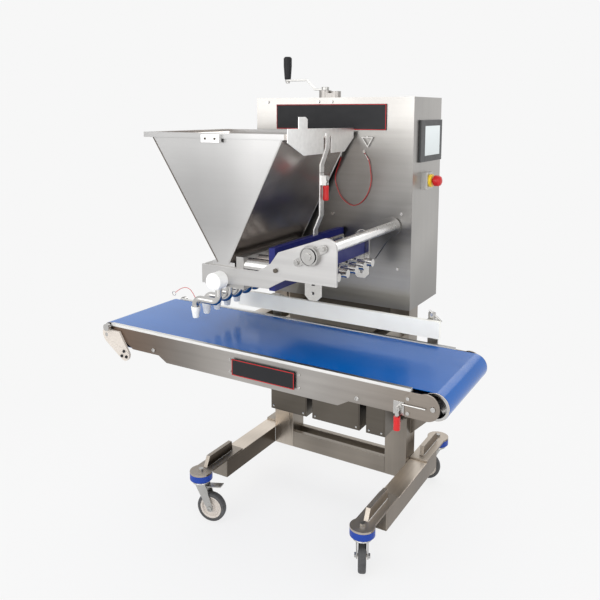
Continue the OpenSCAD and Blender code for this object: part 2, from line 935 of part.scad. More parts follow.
module stop_box() {
  color(yellow) place() difference() {
    union() {
      block(cab_x, cab_x + stop_deep, stop_y - stop_w/2, stop_y + stop_w/2, stop_z - stop_h/2, stop_z + stop_h/2);
      rod_x(collar_r, cab_x + stop_deep - 1, cab_x + stop_deep + collar_t, stop_y, stop_z);
    }
    rod_x(stop_stem_r + run, cab_x + 6, cab_x + stop_deep + collar_t + 1, stop_y, stop_z);
  }
}

module stop_button() {
  face = cab_x + stop_deep + collar_t + stop_gap;
  color(red) place() translate([face, stop_y, stop_z]) rotate([0, 90, 0]) rotate_extrude()
    polygon([[0, 8 - stop_deep], [stop_stem_r, 8 - stop_deep], [stop_stem_r, 0], [stop_d/2 - 3, 0],
             [stop_d/2, 4], [stop_d/2, stop_cap_t - 12], [stop_d/2 - 4, stop_cap_t - 4],
             [stop_d/2 - 12, stop_cap_t], [0, stop_cap_t]]);
}

module crank_bracket() {
  color(steel) place() difference() {
    union() {
      rod_z(bracket_r, cab_top, cab_top + bracket_h, crank_x, crank_y);
      rod_z(bracket_r - 4, cab_top, cab_top + bracket_h - 4, crank_x + 50, crank_y);
      block(crank_x, crank_x + 50, crank_y - bracket_r + 4, crank_y + bracket_r - 4, cab_top, cab_top + bracket_h - 12);
    }
    rod_z(screw_r + run, cab_top - 1, cab_top + bracket_h + 1, crank_x, crank_y);
  }
}

module crank() {
  tip = crank_x - crank_l;
  color(dark_steel) place() {
    along_y(crank_y - crank_w/2, crank_y + crank_w/2)
      polygon([[crank_x, crank_z], [crank_x - crank_s0, crank_z], [crank_x - crank_s1, crank_z + crank_rise],
               [tip, crank_z + crank_rise], [tip, crank_top], [crank_x - crank_s1 - 3, crank_top],
               [crank_x - crank_s0 - 3, crank_z + crank_t], [crank_x, crank_z + crank_t]]);
    rod_z(crank_w/2 + 4, crank_z, crank_z + crank_t + 6, crank_x, crank_y);
    rod_z(crank_w/2, crank_z + crank_rise, crank_top, tip, crank_y);
    rod_z(grip_pin_r, crank_z + crank_rise - 8, grip_base + grip_h - grip_cap, tip, crank_y);
    rod_z(grip_pin_r + 4, crank_z + crank_rise - 8, crank_z + crank_rise + 1, tip, crank_y);
    rod_z(screw_r, screw_low, crank_z + 1, crank_x, crank_y);
  }
}

module crank_grip() {
  color(black) place() translate([crank_x - crank_l, crank_y, grip_base]) rotate_extrude()
    polygon([[grip_pin_r + run, 0], [grip_neck_r - 2, 0], [grip_neck_r, 3], [grip_r, grip_h*0.6],
             [grip_r, grip_h - 6], [grip_r - 6, grip_h], [0, grip_h], [0, grip_h - grip_cap + seat],
             [grip_pin_r + run, grip_h - grip_cap + seat]]);
}

module cabinet_fittings() {
  mid = (hanger_pts[0] + hanger_pts[1] + hanger_pts[2])/3;
  color(steel) place() {
    for (b = bolt_at) rod_y(bolt_r, cab_front - bolt_h, cab_front, b[0], b[1]);
    along_y(hanger_y - hanger_r, hanger_y + hanger_r) translate(mid) difference() {
      polygon([for (p = hanger_pts) p - mid]);
      polygon([for (p = hanger_pts) (p - mid)*hanger_in]);
    }
    rod_y(stud_r, hanger_y - 3, cab_front, (hanger_pts[0][0] + hanger_pts[1][0])/2, hanger_pts[0][1]);
    rod_y(stud_r + 2, cord_y - 3, cab_front, pin_x, pin_z);
    rod_y(stud_r + 2, cord_y - 3, cab_front, eye_x, eye_z);
  }
}

module lanyard() {
  line = cord_line();
  n = len(line);
  sides = 8;
  pts = [for (i = [0:n - 1]) let (
           p = line[i],
           q = line[min(i + 1, n - 1)] - line[max(i - 1, 0)],
           t = q/norm(q))
         for (k = [0:sides - 1]) let (a = 360*k/sides)
           [p[0] - t[1]*cord_r*cos(a), cord_y + cord_r*sin(a), p[1] + t[0]*cord_r*cos(a)]];
  walls = [for (i = [0:n - 2]) for (k = [0:sides - 1]) let (j = (k + 1)%sides)
             [i*sides + k, i*sides + j, (i + 1)*sides + j, (i + 1)*sides + k]];
  ends = [[for (k = [sides - 1:-1:0]) k], [for (k = [0:sides - 1]) (n - 1)*sides + k]];
  color(red) place() polyhedron(pts, concat(walls, ends), convexity = 6);
}

module head_outline(far) {
  translate(lobe) circle(r = lobe_r);
  polygon(concat([[arm_left, arm_low]], head_under, far ? head_far_end : head_near_end,
                 [lobe + lobe_r*[-sin(lobe_ang), cos(lobe_ang)]], head_over, [[arm_left, arm_top]]));
}

module head_plate(y0, y1, far) {
  difference() {
    along_y(y0, y1) head_outline(far);
    rod_y(spool_r + seat, y0 - 1, y1 + 1, spool_x, spool_z);
    rod_y(bear_shaft_r + seat, y0 - 1, y1 + 1, bear_x, bear_z);
  }
}

module side_plates() {
  color(steel) place() {
    head_plate(head_front, head_in, false);
    head_plate(head_far, cab_front, true);
  }
}

module tie_bars() {
  color(white) place() {
    rod_y(tube_r, head_in, head_far, lobe[0], lobe[1]);
    rod_y(bail_r, head_in, bail_far, bail_x, bail_z);
    translate([bail_x, bail_far, bail_z]) sphere(r = bail_r, $fn = 24);
    rod_z(bail_r, bail_z - bail_drop, bail_z, bail_x, bail_far);
    translate([bail_x, bail_far, bail_z - bail_drop]) sphere(r = bail_r, $fn = 24);
    rod_x(bail_r, cyl_plate_x[1], bail_x, bail_far, bail_z - bail_drop);
  }
}

module flange_bearing() {
  color(steel) place() difference() {
    union() {
      along_y(head_front - bear_flange, head_front) {
        translate([bear_x, bear_z]) rotate(atan2(bear_lean, bear_span)) {
          circle(r = bear_cap_r + 2);
          translate([-bear_reach, -bear_ear_r]) square([2*bear_reach, 2*bear_ear_r]);
          for (s = [-1, 1]) translate([s*bear_reach, 0]) circle(r = bear_ear_r);
        }
      }
      difference() {
        rod_y(bear_cap_r, head_front - bear_deep, head_front - 1, bear_x, bear_z);
        rod_y(bear_groove_r, head_front - bear_deep - 1, head_front - bear_deep + bear_lip, bear_x, bear_z);
      }
      rod_y(bear_ring_r, head_front - bear_deep - bear_lip, head_front - bear_deep + 2*bear_lip, bear_x, bear_z);
      rod_y(bear_nose_r, head_front - bear_deep - 3*bear_lip, head_front - bear_deep + 1, bear_x, bear_z);
      for (s = [-1, 1]) rod_y(bear_bolt_r, head_front - bear_flange - bear_bolt_r, head_front - bear_flange + 1,
                              bear_x + s*bear_span, bear_z + s*bear_lean);
      rod_y(bolt_r + 2, head_front - bolt_h - 2, head_front, stud_x, stud_z);
    }
    rod_y(bear_shaft_r + run, head_front - bear_deep + 4, head_front + 1, bear_x, bear_z);
  }
}

module lever(y0) {
  along_y(y0, y0 + lever_t) translate([bear_x, bear_z]) difference() {
    union() {
      circle(r = lever_w/2);
      polygon([[-lever_w/2, 0], [-lever_w/2, lever_cut - lever_len], [lever_cut - lever_w/2, -lever_len],
               [lever_w/2 - lever_cut, -lever_len], [lever_w/2, lever_cut - lever_len], [lever_w/2, 0]]);
    }
    translate([-lever_slot[0], -pin_drop - lever_slot[2]])
      square([2*lever_slot[0], lever_slot[1] + lever_slot[2]]);
    translate([0, -lever_hole]) circle(r = bolt_r);
  }
}

module rocker() {
  color(dark_steel) place() {
    rod_y(bear_shaft_r, head_front - bear_deep + 5, cab_front + cab_t + 6, bear_x, bear_z);
    lever(head_in + 2);
    lever(drive_y[1] + 2);
  }
}

module cylinder_plate() {
  color(deep_blue) place() difference() {
    block(cyl_plate_x[0], cyl_plate_x[1], cyl_plate_y[0], cyl_plate_y[1], cyl_plate_low, cyl_plate_top);
    for (i = [0:station_n - 1]) rod_x(bore_r, cyl_plate_x[0] - 1, cyl_plate_x[1] - 8, station_y(i), station_z);
    for (i = [0:station_n - 1]) rod_x(rod_r + run, cyl_plate_x[1] - 9, cyl_plate_x[1] + 1, station_y(i), station_z);
  }
}

module product_cylinders() {
  color(steel) place() for (i = [0:station_n - 1]) difference() {
    rod_x(cyl_r, body_right, cyl_plate_x[0], station_y(i), station_z);
    rod_x(bore_r, body_right - 1, cyl_plate_x[0] + 1, station_y(i), station_z);
  }
}

module air_cylinders() {
  color(steel) place() for (y = air_y) difference() {
    union() {
      rod_x(air_r, cyl_plate_x[1], air_end - air_block + 1, y, air_z);
      block(air_end - air_block, air_end, y - air_r - 3, y + air_r + 3, air_z - air_r - 3, air_z + air_r + 3);
    }
    rod_x(air_rod_r + run, cyl_plate_x[1] + air_bore_in, air_end + 1, y, air_z);
  }
}

module drive_plate() {
  color(deep_blue) place() {
    difference() {
      union() {
        block(drive_x[0], drive_x[1], drive_y[0], drive_y[1], drive_z[0], drive_z[1] + 1);
        block(drive_x[0], drive_x[1] + drive_over, drive_y[0], drive_y[1], drive_z[1], drive_z[2]);
      }
      for (i = [0:station_n - 1]) rod_x(rod_r + run, drive_x[0] - 1, drive_x[1] + 1, station_y(i), station_z);
    }
    for (y = air_y) rod_x(air_rod_r, cyl_plate_x[1] + air_rod_in, drive_x[0], y, air_z);
    rod_y(pin_r, head_in + 1.5, drive_y[0] + 1, bear_x, bear_z - pin_drop);
    rod_y(pin_r, drive_y[1] - 1, drive_y[1] + lever_t + 3, bear_x, bear_z - pin_drop);
  }
}

module pistons() {
  color(steel) place() for (i = [0:station_n - 1]) {
    rod_x(bore_r - 2*run, piston_x[0], piston_x[1], station_y(i), station_z);
    rod_x(rod_r, piston_x[1] - 1, drive_x[1] + knob_x + 1, station_y(i), station_z);
    rod_x(rod_knob_r, drive_x[1] + knob_x, drive_x[1] + knob_x + 32, station_y(i), station_z);
    rod_x(rod_r + 4, drive_x[1], drive_x[1] + 10, station_y(i), station_z);
  }
}

module valve_body() {
  color(steel) place() difference() {
    along_y(head_in, head_far)
      polygon([[body_left, body_low], [body_right, body_low], [body_right, port_top], [port_x, port_top],
               [port_x, body_top], [body_left, body_top]]);
    rod_y(spool_r + run, head_in - 1, head_far + 1, spool_x, spool_z);
    for (i = [0:station_n - 1]) {
      block(spool_x - feed_w/2, spool_x + feed_w/2, station_y(i) - feed_l/2, station_y(i) + feed_l/2,
            spool_z, body_top + 1);
      rod_x(way_r, spool_x, port_x + 16, station_y(i), spool_z);
      rod_z(way_r, spool_z, station_z, port_x + 16, station_y(i));
      rod_x(way_r, port_x + 16, body_right + 1, station_y(i), station_z);
      rod_x(way_r, drop_x, spool_x, station_y(i), spool_z);
      rod_z(way_r, body_low - 1, spool_z, drop_x, station_y(i));
    }
  }
}

module valve_spool() {
  color(white) place() difference() {
    union() {
      rod_y(spool_r, head_front - seat, spool_back, spool_x, spool_z);
      rod_y(spool_knob_r, spool_front + spool_nose, head_front - seat, spool_x, spool_z);
      translate([spool_x, spool_front + spool_nose, spool_z]) rotate([90, 0, 0])
        cylinder(r1 = spool_knob_r, r2 = spool_knob_r - spool_nose, h = spool_nose);
    }
    for (i = [0:station_n - 1]) rod_z(way_r, spool_z - spool_r - 1, spool_z + spool_r + 1, spool_x, station_y(i));
    block(spool_x - spool_knob_r - 1, spool_x + spool_knob_r + 1, spool_front - 1, spool_front + spool_flat[0],
          spool_z - spool_knob_r - 1, spool_z - spool_knob_r + spool_flat[1]);
  }
}

module tube_path(r) {
  rod_z(r, body_low - spout_top, body_low, 0, 0);
  translate([-bend_r, 0, body_low - spout_top]) rotate([90, 0, 0]) rotate([0, 0, -90])
    rotate_extrude(angle = 90) translate([bend_r, 0]) circle(r = r);
  rod_x(r, -bend_r - spout_run, -bend_r, 0, body_low - spout_top - bend_r);
  translate([-bend_r - spout_run, 0, body_low - spout_top - 2*bend_r]) rotate([90, 0, 0]) rotate([0, 0, 90])
    rotate_extrude(angle = 90) translate([bend_r, 0]) circle(r = r);
  rod_z(r, spout_z, body_low - spout_top - 2*bend_r, -2*bend_r - spout_run, 0);
}

module spouts() {
  color(steel) place() for (i = [0:station_n - 1]) translate([drop_x, station_y(i), 0]) difference() {
    tube_path(spout_r);
    tube_path(spout_r - spout_wall);
  }
}

module nozzle_tips() {
  color(white) place() for (i = [0:station_n - 1]) translate([spout_end, station_y(i), spout_z]) rotate_extrude()
    polygon([[spout_r - spout_wall, 0], [tip_top_r, 0], [tip_top_r, -8], [tip_end_r + 2, -tip_h],
             [tip_end_r, -tip_h], [spout_r - spout_wall, -8]]);
}

module hop_wall(xa, xb, sign) {
  lean = sign*hop_t*1.2;
  polygon([[xa, foot_top - 4], [xb, hop_top - rim_h/2], [xb + lean, hop_top - rim_h/2], [xa + lean, foot_top - 4]]);
}

module hopper_shell() {
  color(steel) place() {
    along_y(hop_near, hop_far) hop_wall(hop_l0, hop_l1, 1);
    along_y(hop_near, hop_far) hop_wall(hop_r0, hop_r1, -1);
    for (y = [hop_near, hop_far - hop_t]) along_y(y, y + hop_t)
      polygon([[hop_l0, foot_top - 4], [hop_r0, foot_top - 4], [hop_r1, hop_top - rim_h/2],
               [hop_l1, hop_top - rim_h/2]]);
    difference() {
      block(rim_x[0], rim_x[1], rim_y[0], rim_y[1], hop_top - rim_h, hop_top);
      block(hop_l1 + 1, hop_r1 - 1, hop_near + 1, hop_far - 1, hop_top - rim_h - 1, hop_top + 1);
    }
    difference() {
      block(foot_x[0], foot_x[1], hop_near, hop_far, body_top, foot_top);
      block(hop_l0 + 4, hop_r0 - 4, hop_near + 4, hop_far - 4, body_top - 1, foot_top + 1);
    }
  }
}

module guard_plate() {
  color(steel) place() {
    along_x(guard_x, guard_x + guard_t) difference() {
      polygon([[rim_y[0] + guard_in, hop_top + guard_high[0]], [rim_y[0] + guard_in, hop_top - guard_low[0]],
               [rim_y[0] + guard_cut[0], hop_top - guard_deep], [rim_y[1] - guard_cut[1], hop_top - guard_deep],
               [rim_y[1], hop_top - guard_low[1]], [rim_y[1], hop_top + guard_high[1]]]);
      translate([slot_y[0], hop_top - guard_deep - slot_over])
        square([slot_y[1] - slot_y[0], guard_deep + slot_over - slot_drop]);
    }
    along_x(guard_x, guard_x + guard_t)
      polygon([[tab_y[0], hop_top + tab_low], [tab_y[1], hop_top + tab_low],
               [tab_y[1], hop_top + tab_high - tab_cut[1]], [tab_y[1] - tab_cut[0], hop_top + tab_high],
               [tab_y[0], hop_top + tab_high]]);
    along_y(strap_y - strap_w/2, strap_y + strap_w/2)
      polygon([[strap_mid, strap_split + strap_gap], [strap_mid + strap_t, strap_split + strap_gap],
               [strap_mid + strap_t, strap_split + strap_gap + strap_bend],
               [strap_top + strap_t, hop_top - strap_reach], [strap_top + strap_t, hop_top - strap_end],
               [strap_top, hop_top - strap_end], [strap_top, hop_top - strap_reach + knee_step],
               [strap_mid, strap_split + strap_gap + strap_bend + knee_step]]);
    block(clip_x[0], clip_x[1], rim_y[0] - clip_out, rim_y[0], hop_top + clip_z[0], hop_top + clip_z[1]);
  }
}

module strap_lower() {
  color(steel) place() {
    along_y(strap_y - strap_w/2, strap_y + strap_w/2)
      polygon([[strap_foot, cyl_plate_top], [strap_foot + strap_t, cyl_plate_top],
               [strap_foot + strap_t, cyl_plate_top + strap_knee[0]],
               [strap_mid + strap_t, cyl_plate_top + strap_knee[1]], [strap_mid + strap_t, strap_split],
               [strap_mid, strap_split], [strap_mid, cyl_plate_top + strap_knee[1] + knee_step],
               [strap_foot, cyl_plate_top + strap_knee[0] + knee_step]]);
    for (y = [-1, 1]) block(strap_mid + strap_t, strap_mid + strap_t + toggle_out + 6,
                            strap_y + y*(toggle_w/2 - 2) - 2, strap_y + y*(toggle_w/2 - 2) + 2,
                            toggle_z - 14, toggle_z + 22);
    rod_y(toggle_pin_r, strap_y - toggle_w/2 + 3, strap_y + toggle_w/2 - 3, strap_mid + strap_t + toggle_out, toggle_z);
  }
}

module strap_handle() {
  px = strap_mid + strap_t + toggle_out;
  hw = toggle_w/2 - 4 - seat;
  color(red) place() difference() {
    union() {
      rod_y(toggle_hub_r, strap_y - hw, strap_y + hw, px, toggle_z);
      block(px - 4, px + 4, strap_y - hw, strap_y + hw, toggle_z - toggle_drop + toggle_grip_l, toggle_z);
      rod_z(toggle_grip_r, toggle_z - toggle_drop, toggle_z - toggle_drop + toggle_grip_l, px, strap_y);
    }
    rod_y(toggle_pin_r + run, strap_y - toggle_w, strap_y + toggle_w, px, toggle_z);
  }
}

base_frame();
mast_posts();
mast_head();
caster_brackets();
bumper_rings();
conveyor_panels();
end_plates();
tail_links();
conveyor_fittings();
wear_strips();
slider_bed();
belt();
control_boxes();
rail_brackets();
panel_plate();
drive_drum();
tail_drum();
latch_handle();
guide_rail();
rail_knob();
fork_fl();
fork_fr();
fork_rr();
fork_rl();
wheel_fl();
wheel_fr();
wheel_rr();
wheel_rl();
pedal_fl();
pedal_fr();
cabinet_panels();
cabinet_door();
guide_pads();
cabinet_plate();
screen_housing();
stop_box();
stop_button();
crank_bracket();
crank();
crank_grip();
cabinet_fittings();
lanyard();
side_plates();
tie_bars();
flange_bearing();
rocker();
cylinder_plate();
product_cylinders();
air_cylinders();
drive_plate();
pistons();
valve_body();
valve_spool();
spouts();
nozzle_tips();
hopper_shell();
guard_plate();
strap_lower();
strap_handle();
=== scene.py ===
import json
import math

import bpy
from bpy.props import FloatProperty, FloatVectorProperty, PointerProperty
from bpy.types import Operator, Panel, PropertyGroup
from mathutils import Matrix, Vector

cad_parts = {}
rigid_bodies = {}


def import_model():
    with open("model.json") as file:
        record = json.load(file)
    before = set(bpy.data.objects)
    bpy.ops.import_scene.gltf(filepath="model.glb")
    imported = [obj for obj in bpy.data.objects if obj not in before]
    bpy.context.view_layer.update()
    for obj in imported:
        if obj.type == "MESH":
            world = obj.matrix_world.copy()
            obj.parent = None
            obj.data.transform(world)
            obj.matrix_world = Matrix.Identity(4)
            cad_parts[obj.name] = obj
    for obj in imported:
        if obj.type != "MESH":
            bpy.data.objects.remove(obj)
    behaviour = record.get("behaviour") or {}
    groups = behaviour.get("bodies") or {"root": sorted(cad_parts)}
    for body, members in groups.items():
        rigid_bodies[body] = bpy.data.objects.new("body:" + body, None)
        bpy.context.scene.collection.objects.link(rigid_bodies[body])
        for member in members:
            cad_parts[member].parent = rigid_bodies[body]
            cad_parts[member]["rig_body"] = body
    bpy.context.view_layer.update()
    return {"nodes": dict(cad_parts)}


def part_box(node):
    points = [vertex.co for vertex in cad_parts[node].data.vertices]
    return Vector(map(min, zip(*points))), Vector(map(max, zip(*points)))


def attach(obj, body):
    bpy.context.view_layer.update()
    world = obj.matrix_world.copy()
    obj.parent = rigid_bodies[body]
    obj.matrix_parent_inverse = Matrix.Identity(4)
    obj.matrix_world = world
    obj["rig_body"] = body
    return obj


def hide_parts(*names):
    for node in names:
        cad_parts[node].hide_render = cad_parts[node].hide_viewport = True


bl_info = {
    "name": "Food Depositor Finish",
    "version": (1, 0, 0),
    "blender": (4, 5, 0),
    "location": "View3D > Sidebar > Depositor",
    "description": "Finishes and fine pieces of a food depositor on a belt conveyor",
    "category": "Object",
}

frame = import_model()
NODES = frame["nodes"]
CENTRE_Y = 287.25


def at(x, y, z):
    """A point of the part in metres, from the drawing's millimetres with y from the belt's centre line."""
    return Vector((x, y - CENTRE_Y, z)) / 1000


TURNS = {"fl": 12, "fr": 114, "rr": 187, "rl": 172}
RAIL_W = 0.08
BUMPER_R = 0.0475
STEM_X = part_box("base_frame")[1].x - RAIL_W / 2
STEM_Y = {"f": at(0, -36, 0).y, "r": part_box("bumper_rings")[1].y - BUMPER_R}
SHARP = math.radians(38)
FLAT = math.radians(0.4)
MERGE = 0.00001
DARK, PALE = 0.3, 0.7
FINISHES = {}


def colour(name, default, text):
    return FloatVectorProperty(name=name, description=text, subtype="COLOR", size=3, min=0, max=1,
                               default=default)


def length(name, default, text):
    return FloatProperty(name=name, description=text, subtype="DISTANCE", unit="LENGTH", default=default)


class DepositorColours(PropertyGroup):
    """Colours of the finishes."""

    stand: colour("Stand tube", (0.32, 0.285, 0.245), "Brushed stainless of the stand")
    # Painted shade: far darker than the other stainless, for the shade under the conveyor.
    boxes: colour("Control boxes", (0.13, 0.115, 0.097), "Brushed stainless of the control boxes")
    panel: colour("Panel sheet", (0.4, 0.38, 0.36), "Brushed stainless of the conveyor")
    cabinet: colour("Cabinet sheet", (0.47, 0.455, 0.435), "Brushed stainless of the lift cabinet")
    hopper: colour("Hopper sheet", (0.4, 0.396, 0.392), "Brushed stainless of the hopper")
    plate: colour("Head plate", (0.53, 0.522, 0.515), "Bead-blasted stainless of the head plates")
    # Painted highlight: paler than the head plates' stainless, for the light the guard plate catches; the
    # strap and tie tube share it.
    guard: colour("Guard plate", (0.97, 0.96, 0.945), "Bright stainless of guard plate, strap and tie tube")
    cast: colour("Cast steel", (0.42, 0.413, 0.402), "Cast housing of the flange bearing")
    body: colour("Valve body", (0.46, 0.45, 0.435), "Machined stainless of the valve body")
    bright: colour("Bright steel", (0.55, 0.54, 0.525), "Turned and polished steel")
    zinc: colour("Zinc steel", (0.46, 0.455, 0.44), "Pressed plated steel of the casters")
    belt: colour("Belt", (0.001, 0.112, 0.44), "Food belt")
    navy: colour("Navy plastic", (0.008, 0.012, 0.12), "Cylinder and drive plates")
    ring: colour("Bumper blue", (0.008, 0.045, 0.3), "Bumper rings over the casters")
    white: colour("White plastic", (0.86, 0.86, 0.845), "Spool knob, nozzle tips and slide pads")
    # Painted light: paler than the other white plastic, for the guide rail in the shade under the head.
    rail: colour("Guide rail", (0.98, 0.955, 0.88), "Plastic of the guide rail")
    strip: colour("Wear strip", (0.6, 0.595, 0.58), "Plastic of the wear strips beside the belt")
    cream: colour("Cream plastic", (0.56, 0.51, 0.46), "Tail links, drum rings and hubs")
    black: colour("Black", (0.012, 0.012, 0.014), "Bare plates, crank grip, tail bolts and drum cores")
    red: colour("Red", (0.52, 0.012, 0.014), "Grips, button, border lines and lanyard")
    yellow: colour("Yellow", (0.82, 0.56, 0.02), "Collar of the stop button")
    tyre: colour("Tyre", (0.055, 0.055, 0.056), "Rubber of the wheels")
    bezel: colour("Bezel", (0.035, 0.036, 0.038), "Frame of the screen")
    glass: colour("Screen", (0.55, 0.6, 0.61), "Face of the idle screen")


class DepositorSizes(PropertyGroup):
    """Sizes of the fine pieces."""

    tube_edge: length("Tube edge", 0.004, "Rounding of the stand's square tubes")
    sheet_edge: length("Sheet edge", 0.0009, "Rounding of cut and folded sheet")
    block_edge: length("Block edge", 0.0016, "Rounding of machined plates and plastic")
    border: length("Border line", 0.0022, "Width of the line round the bare plates")
    weld: length("Weld", 0.0022, "Radius of the weld beads")
    screw: length("Screw head", 0.0046, "Radius of the small screw heads")
    cord: length("Lanyard", 0.003, "Diameter of the lanyard")


class DepositorView(PropertyGroup):
    """Camera and light."""

    turn: FloatProperty(name="Turn", description="Camera's turn to the left", subtype="ANGLE",
                        default=math.radians(31.126))
    tilt: FloatProperty(name="Tilt", description="Camera's tilt down", subtype="ANGLE",
                        default=math.radians(8))
    lens: FloatProperty(name="Lens", description="Focal length in millimetres", default=41.045)
    key: FloatProperty(name="Key light", description="Power of the key light", subtype="POWER", default=54)
    fill: FloatProperty(name="Fill light", description="Power of the fill light", subtype="POWER", default=28)
    front: FloatProperty(name="Front light", description="Power of the low front light", subtype="POWER",
                         default=32)
    ambient: FloatProperty(name="Ambient", description="Strength of the room's light", default=0.95)
    paper: FloatProperty(name="Background", description="Brightness of the background", default=0.93)


def tint(rgb, factor):
    """A paler or darker colour, with its alpha."""
    return (*(min(1, channel * factor) for channel in rgb), 1)


class Finish:
    """One procedural material, built node by node."""

    def __init__(self, name, rough, metallic=0.0):
        self.material = bpy.data.materials.new(name)
        self.material.use_nodes = True
        self.nodes = self.material.node_tree.nodes
        self.links = self.material.node_tree.links
        self.shader = self.nodes["Principled BSDF"]
        self.shader.inputs["Metallic"].default_value = metallic
        self.shader.inputs["Roughness"].default_value = rough
        self.place = self.nodes.new("ShaderNodeTexCoord").outputs["Object"]
        FINISHES[name] = self.material

    def link(self, out, socket):
        self.links.new(out, socket)

    def noise(self, scale, stretch=(1, 1, 1), detail=3.0, distortion=0.0):
        spread = self.nodes.new("ShaderNodeMapping")
        spread.inputs["Scale"].default_value = stretch
        self.link(self.place, spread.inputs["Vector"])
        cloud = self.nodes.new("ShaderNodeTexNoise")
        cloud.inputs["Scale"].default_value = scale
        cloud.inputs["Detail"].default_value = detail
        cloud.inputs["Distortion"].default_value = distortion
        self.link(spread.outputs["Vector"], cloud.inputs["Vector"])
        return cloud.outputs["Fac"]

    def ramp(self, value, stops):
        ramp = self.nodes.new("ShaderNodeValToRGB")
        points = ramp.color_ramp.elements
        while len(points) < len(stops):
            points.new(0.5)
        for point, (position, rgba) in zip(points, stops):
            point.position = position
            point.color = rgba
        self.link(value, ramp.inputs["Fac"])
        return ramp.outputs["Color"]

    def remap(self, value, low, high, start=0.0, end=1.0):
        change = self.nodes.new("ShaderNodeMapRange")
        change.inputs["From Min"].default_value = start
        change.inputs["From Max"].default_value = end
        change.inputs["To Min"].default_value = low
        change.inputs["To Max"].default_value = high
        self.link(value, change.inputs["Value"])
        return change.outputs["Result"]

    def shade(self, value, dark, pale):
        """A noise as colours from a dark to a pale tone."""
        return self.ramp(value, [(DARK, dark), (PALE, pale)])

    def multiply(self, a, b):
        blend = self.nodes.new("ShaderNodeMix")
        blend.data_type = "RGBA"
        blend.blend_type = "MULTIPLY"
        sockets = {socket.identifier: socket for socket in (*blend.inputs, *blend.outputs)}
        sockets["Factor_Float"].default_value = 1.0
        self.link(a, sockets["A_Color"])
        self.link(b, sockets["B_Color"])
        return sockets["Result_Color"]

    def along(self, axis, start, end):
        split = self.nodes.new("ShaderNodeSeparateXYZ")
        self.link(self.place, split.inputs["Vector"])
        return self.remap(split.outputs[axis], 0, 1, start, end)

    def bump(self, value, strength, depth):
        bump = self.nodes.new("ShaderNodeBump")
        bump.inputs["Strength"].default_value = strength
        bump.inputs["Distance"].default_value = depth
        self.link(value, bump.inputs["Height"])
        self.link(bump.outputs["Normal"], self.shader.inputs["Normal"])

    def base(self, out):
        self.link(out, self.shader.inputs["Base Color"])

    def rough(self, value, low, high):
        self.link(self.remap(value, low, high, DARK, PALE), self.shader.inputs["Roughness"])


def grey(tone):
    """A grey of one brightness, or a colour as it is, for a ramp."""
    return (*tone, 1) if isinstance(tone, tuple) else (tone, tone, tone, 1)


def grain_of(axis, along=0.3, across=70.0):
    """Stretch of a noise into lines that run along an axis."""
    return tuple(along if name == axis else across for name in "XYZ")


def brushed(name, rgb, rough, axis, cloud=0.14, *shades, streak=0.04):
    """Brushed sheet: fine lines and faint streaks along one axis, soft clouds of tone that are partly uneven
    sheet and partly painted reflection, and slow changes of tone that are painted light, shade and
    reflection.

    Each of the shades is an axis, the two places it runs between and the tones on the way."""
    steel = Finish(name, rough, 1.0)
    lines = steel.noise(9, grain_of(axis), 5.0)
    streaks = steel.noise(9, grain_of(axis, 0.22, 7.0), 2.0)
    tone_and_reflection_fog = steel.noise(2.6, (1, 1, 1), 2.0, 0.4)
    tone = steel.multiply(steel.shade(tone_and_reflection_fog, tint(rgb, 1 - cloud), tint(rgb, 1 + cloud)),
                          steel.shade(lines, grey(0.97), grey(1)))
    tone = steel.multiply(tone, steel.shade(streaks, grey(1 - streak), grey(1 + streak)))
    # Each shade paints light, shade or reflection along an axis.
    for way, start, end, stops in shades:
        fade = steel.ramp(steel.along(way, start, end), [(place, grey(level)) for place, level in stops])
        tone = steel.multiply(tone, fade)
    steel.base(tone)
    steel.rough(streaks, rough - streak * 0.6, rough + streak * 0.8)
    steel.bump(lines, 0.012, 0.0003)


def moulded(name, rgb, rough, scale=320, strength=0.08, gloss=0.5):
    """Moulded plastic: a faint pebble, uneven gloss and a little drift of tone."""
    plastic = Finish(name, rough)
    drift = plastic.noise(7, detail=2.0)
    plastic.base(plastic.shade(drift, tint(rgb, 0.93), tint(rgb, 1.05)))
    plastic.rough(plastic.noise(40), rough - 0.05, rough + 0.07)
    plastic.bump(plastic.noise(scale, detail=2.0), strength, 0.0003)
    plastic.shader.inputs["Specular IOR Level"].default_value = gloss


def turned_metal(name, rgb, rough):
    """Turned or polished steel with fine scratches and finger marks."""
    metal = Finish(name, rough, 1.0)
    marks = metal.noise(70, detail=4.0, distortion=0.6)
    metal.base(metal.shade(metal.noise(12), tint(rgb, 0.9), tint(rgb, 1.08)))
    metal.rough(marks, rough - 0.06, rough + 0.08)
    metal.bump(metal.noise(600, detail=2.0), 0.05, 0.0002)


def belt_finish(name, rgb):
    """Food belt: a glossy skin over a faint weave, with a painted sheen that makes it paler towards its left
    end and a little darker at its right, and a little worn.
    """
    belt = Finish(name, 0.34)
    worn = belt.noise(3.2, (0.6, 1.6, 1), 3.0, 0.5)
    left, right = (corner.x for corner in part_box("belt"))
    # Painted sheen: paler blue towards the left end, slightly darker blue at the right.
    pale = (rgb[0] + 0.06, rgb[1] + 0.08, rgb[2] + 0.1)
    sheen = belt.ramp(belt.along("X", left, right),
                      [(0.02, (*pale, 1)), (0.42, (*rgb, 1)), (1, tint(rgb, 0.92))])
    belt.base(belt.multiply(sheen, belt.ramp(worn, [(0.3, grey(0.88)), (0.72, grey(1))])))
    belt.rough(belt.noise(18, (0.4, 1, 1)), 0.13, 0.2)
    belt.bump(belt.noise(520, detail=1.0), 0.03, 0.0002)
    belt.shader.inputs["Specular IOR Level"].default_value = 0.28


def tyre_finish(name, rgb):
    """Grey rubber with scuffs."""
    rubber = Finish(name, 0.6)
    scuff = rubber.noise(45, detail=5.0)
    rubber.base(rubber.ramp(scuff, [(0.35, tint(rgb, 0.8)), (0.75, tint(rgb, 1.5))]))
    rubber.rough(scuff, 0.5, 0.75)
    rubber.bump(rubber.noise(420), 0.15, 0.0004)


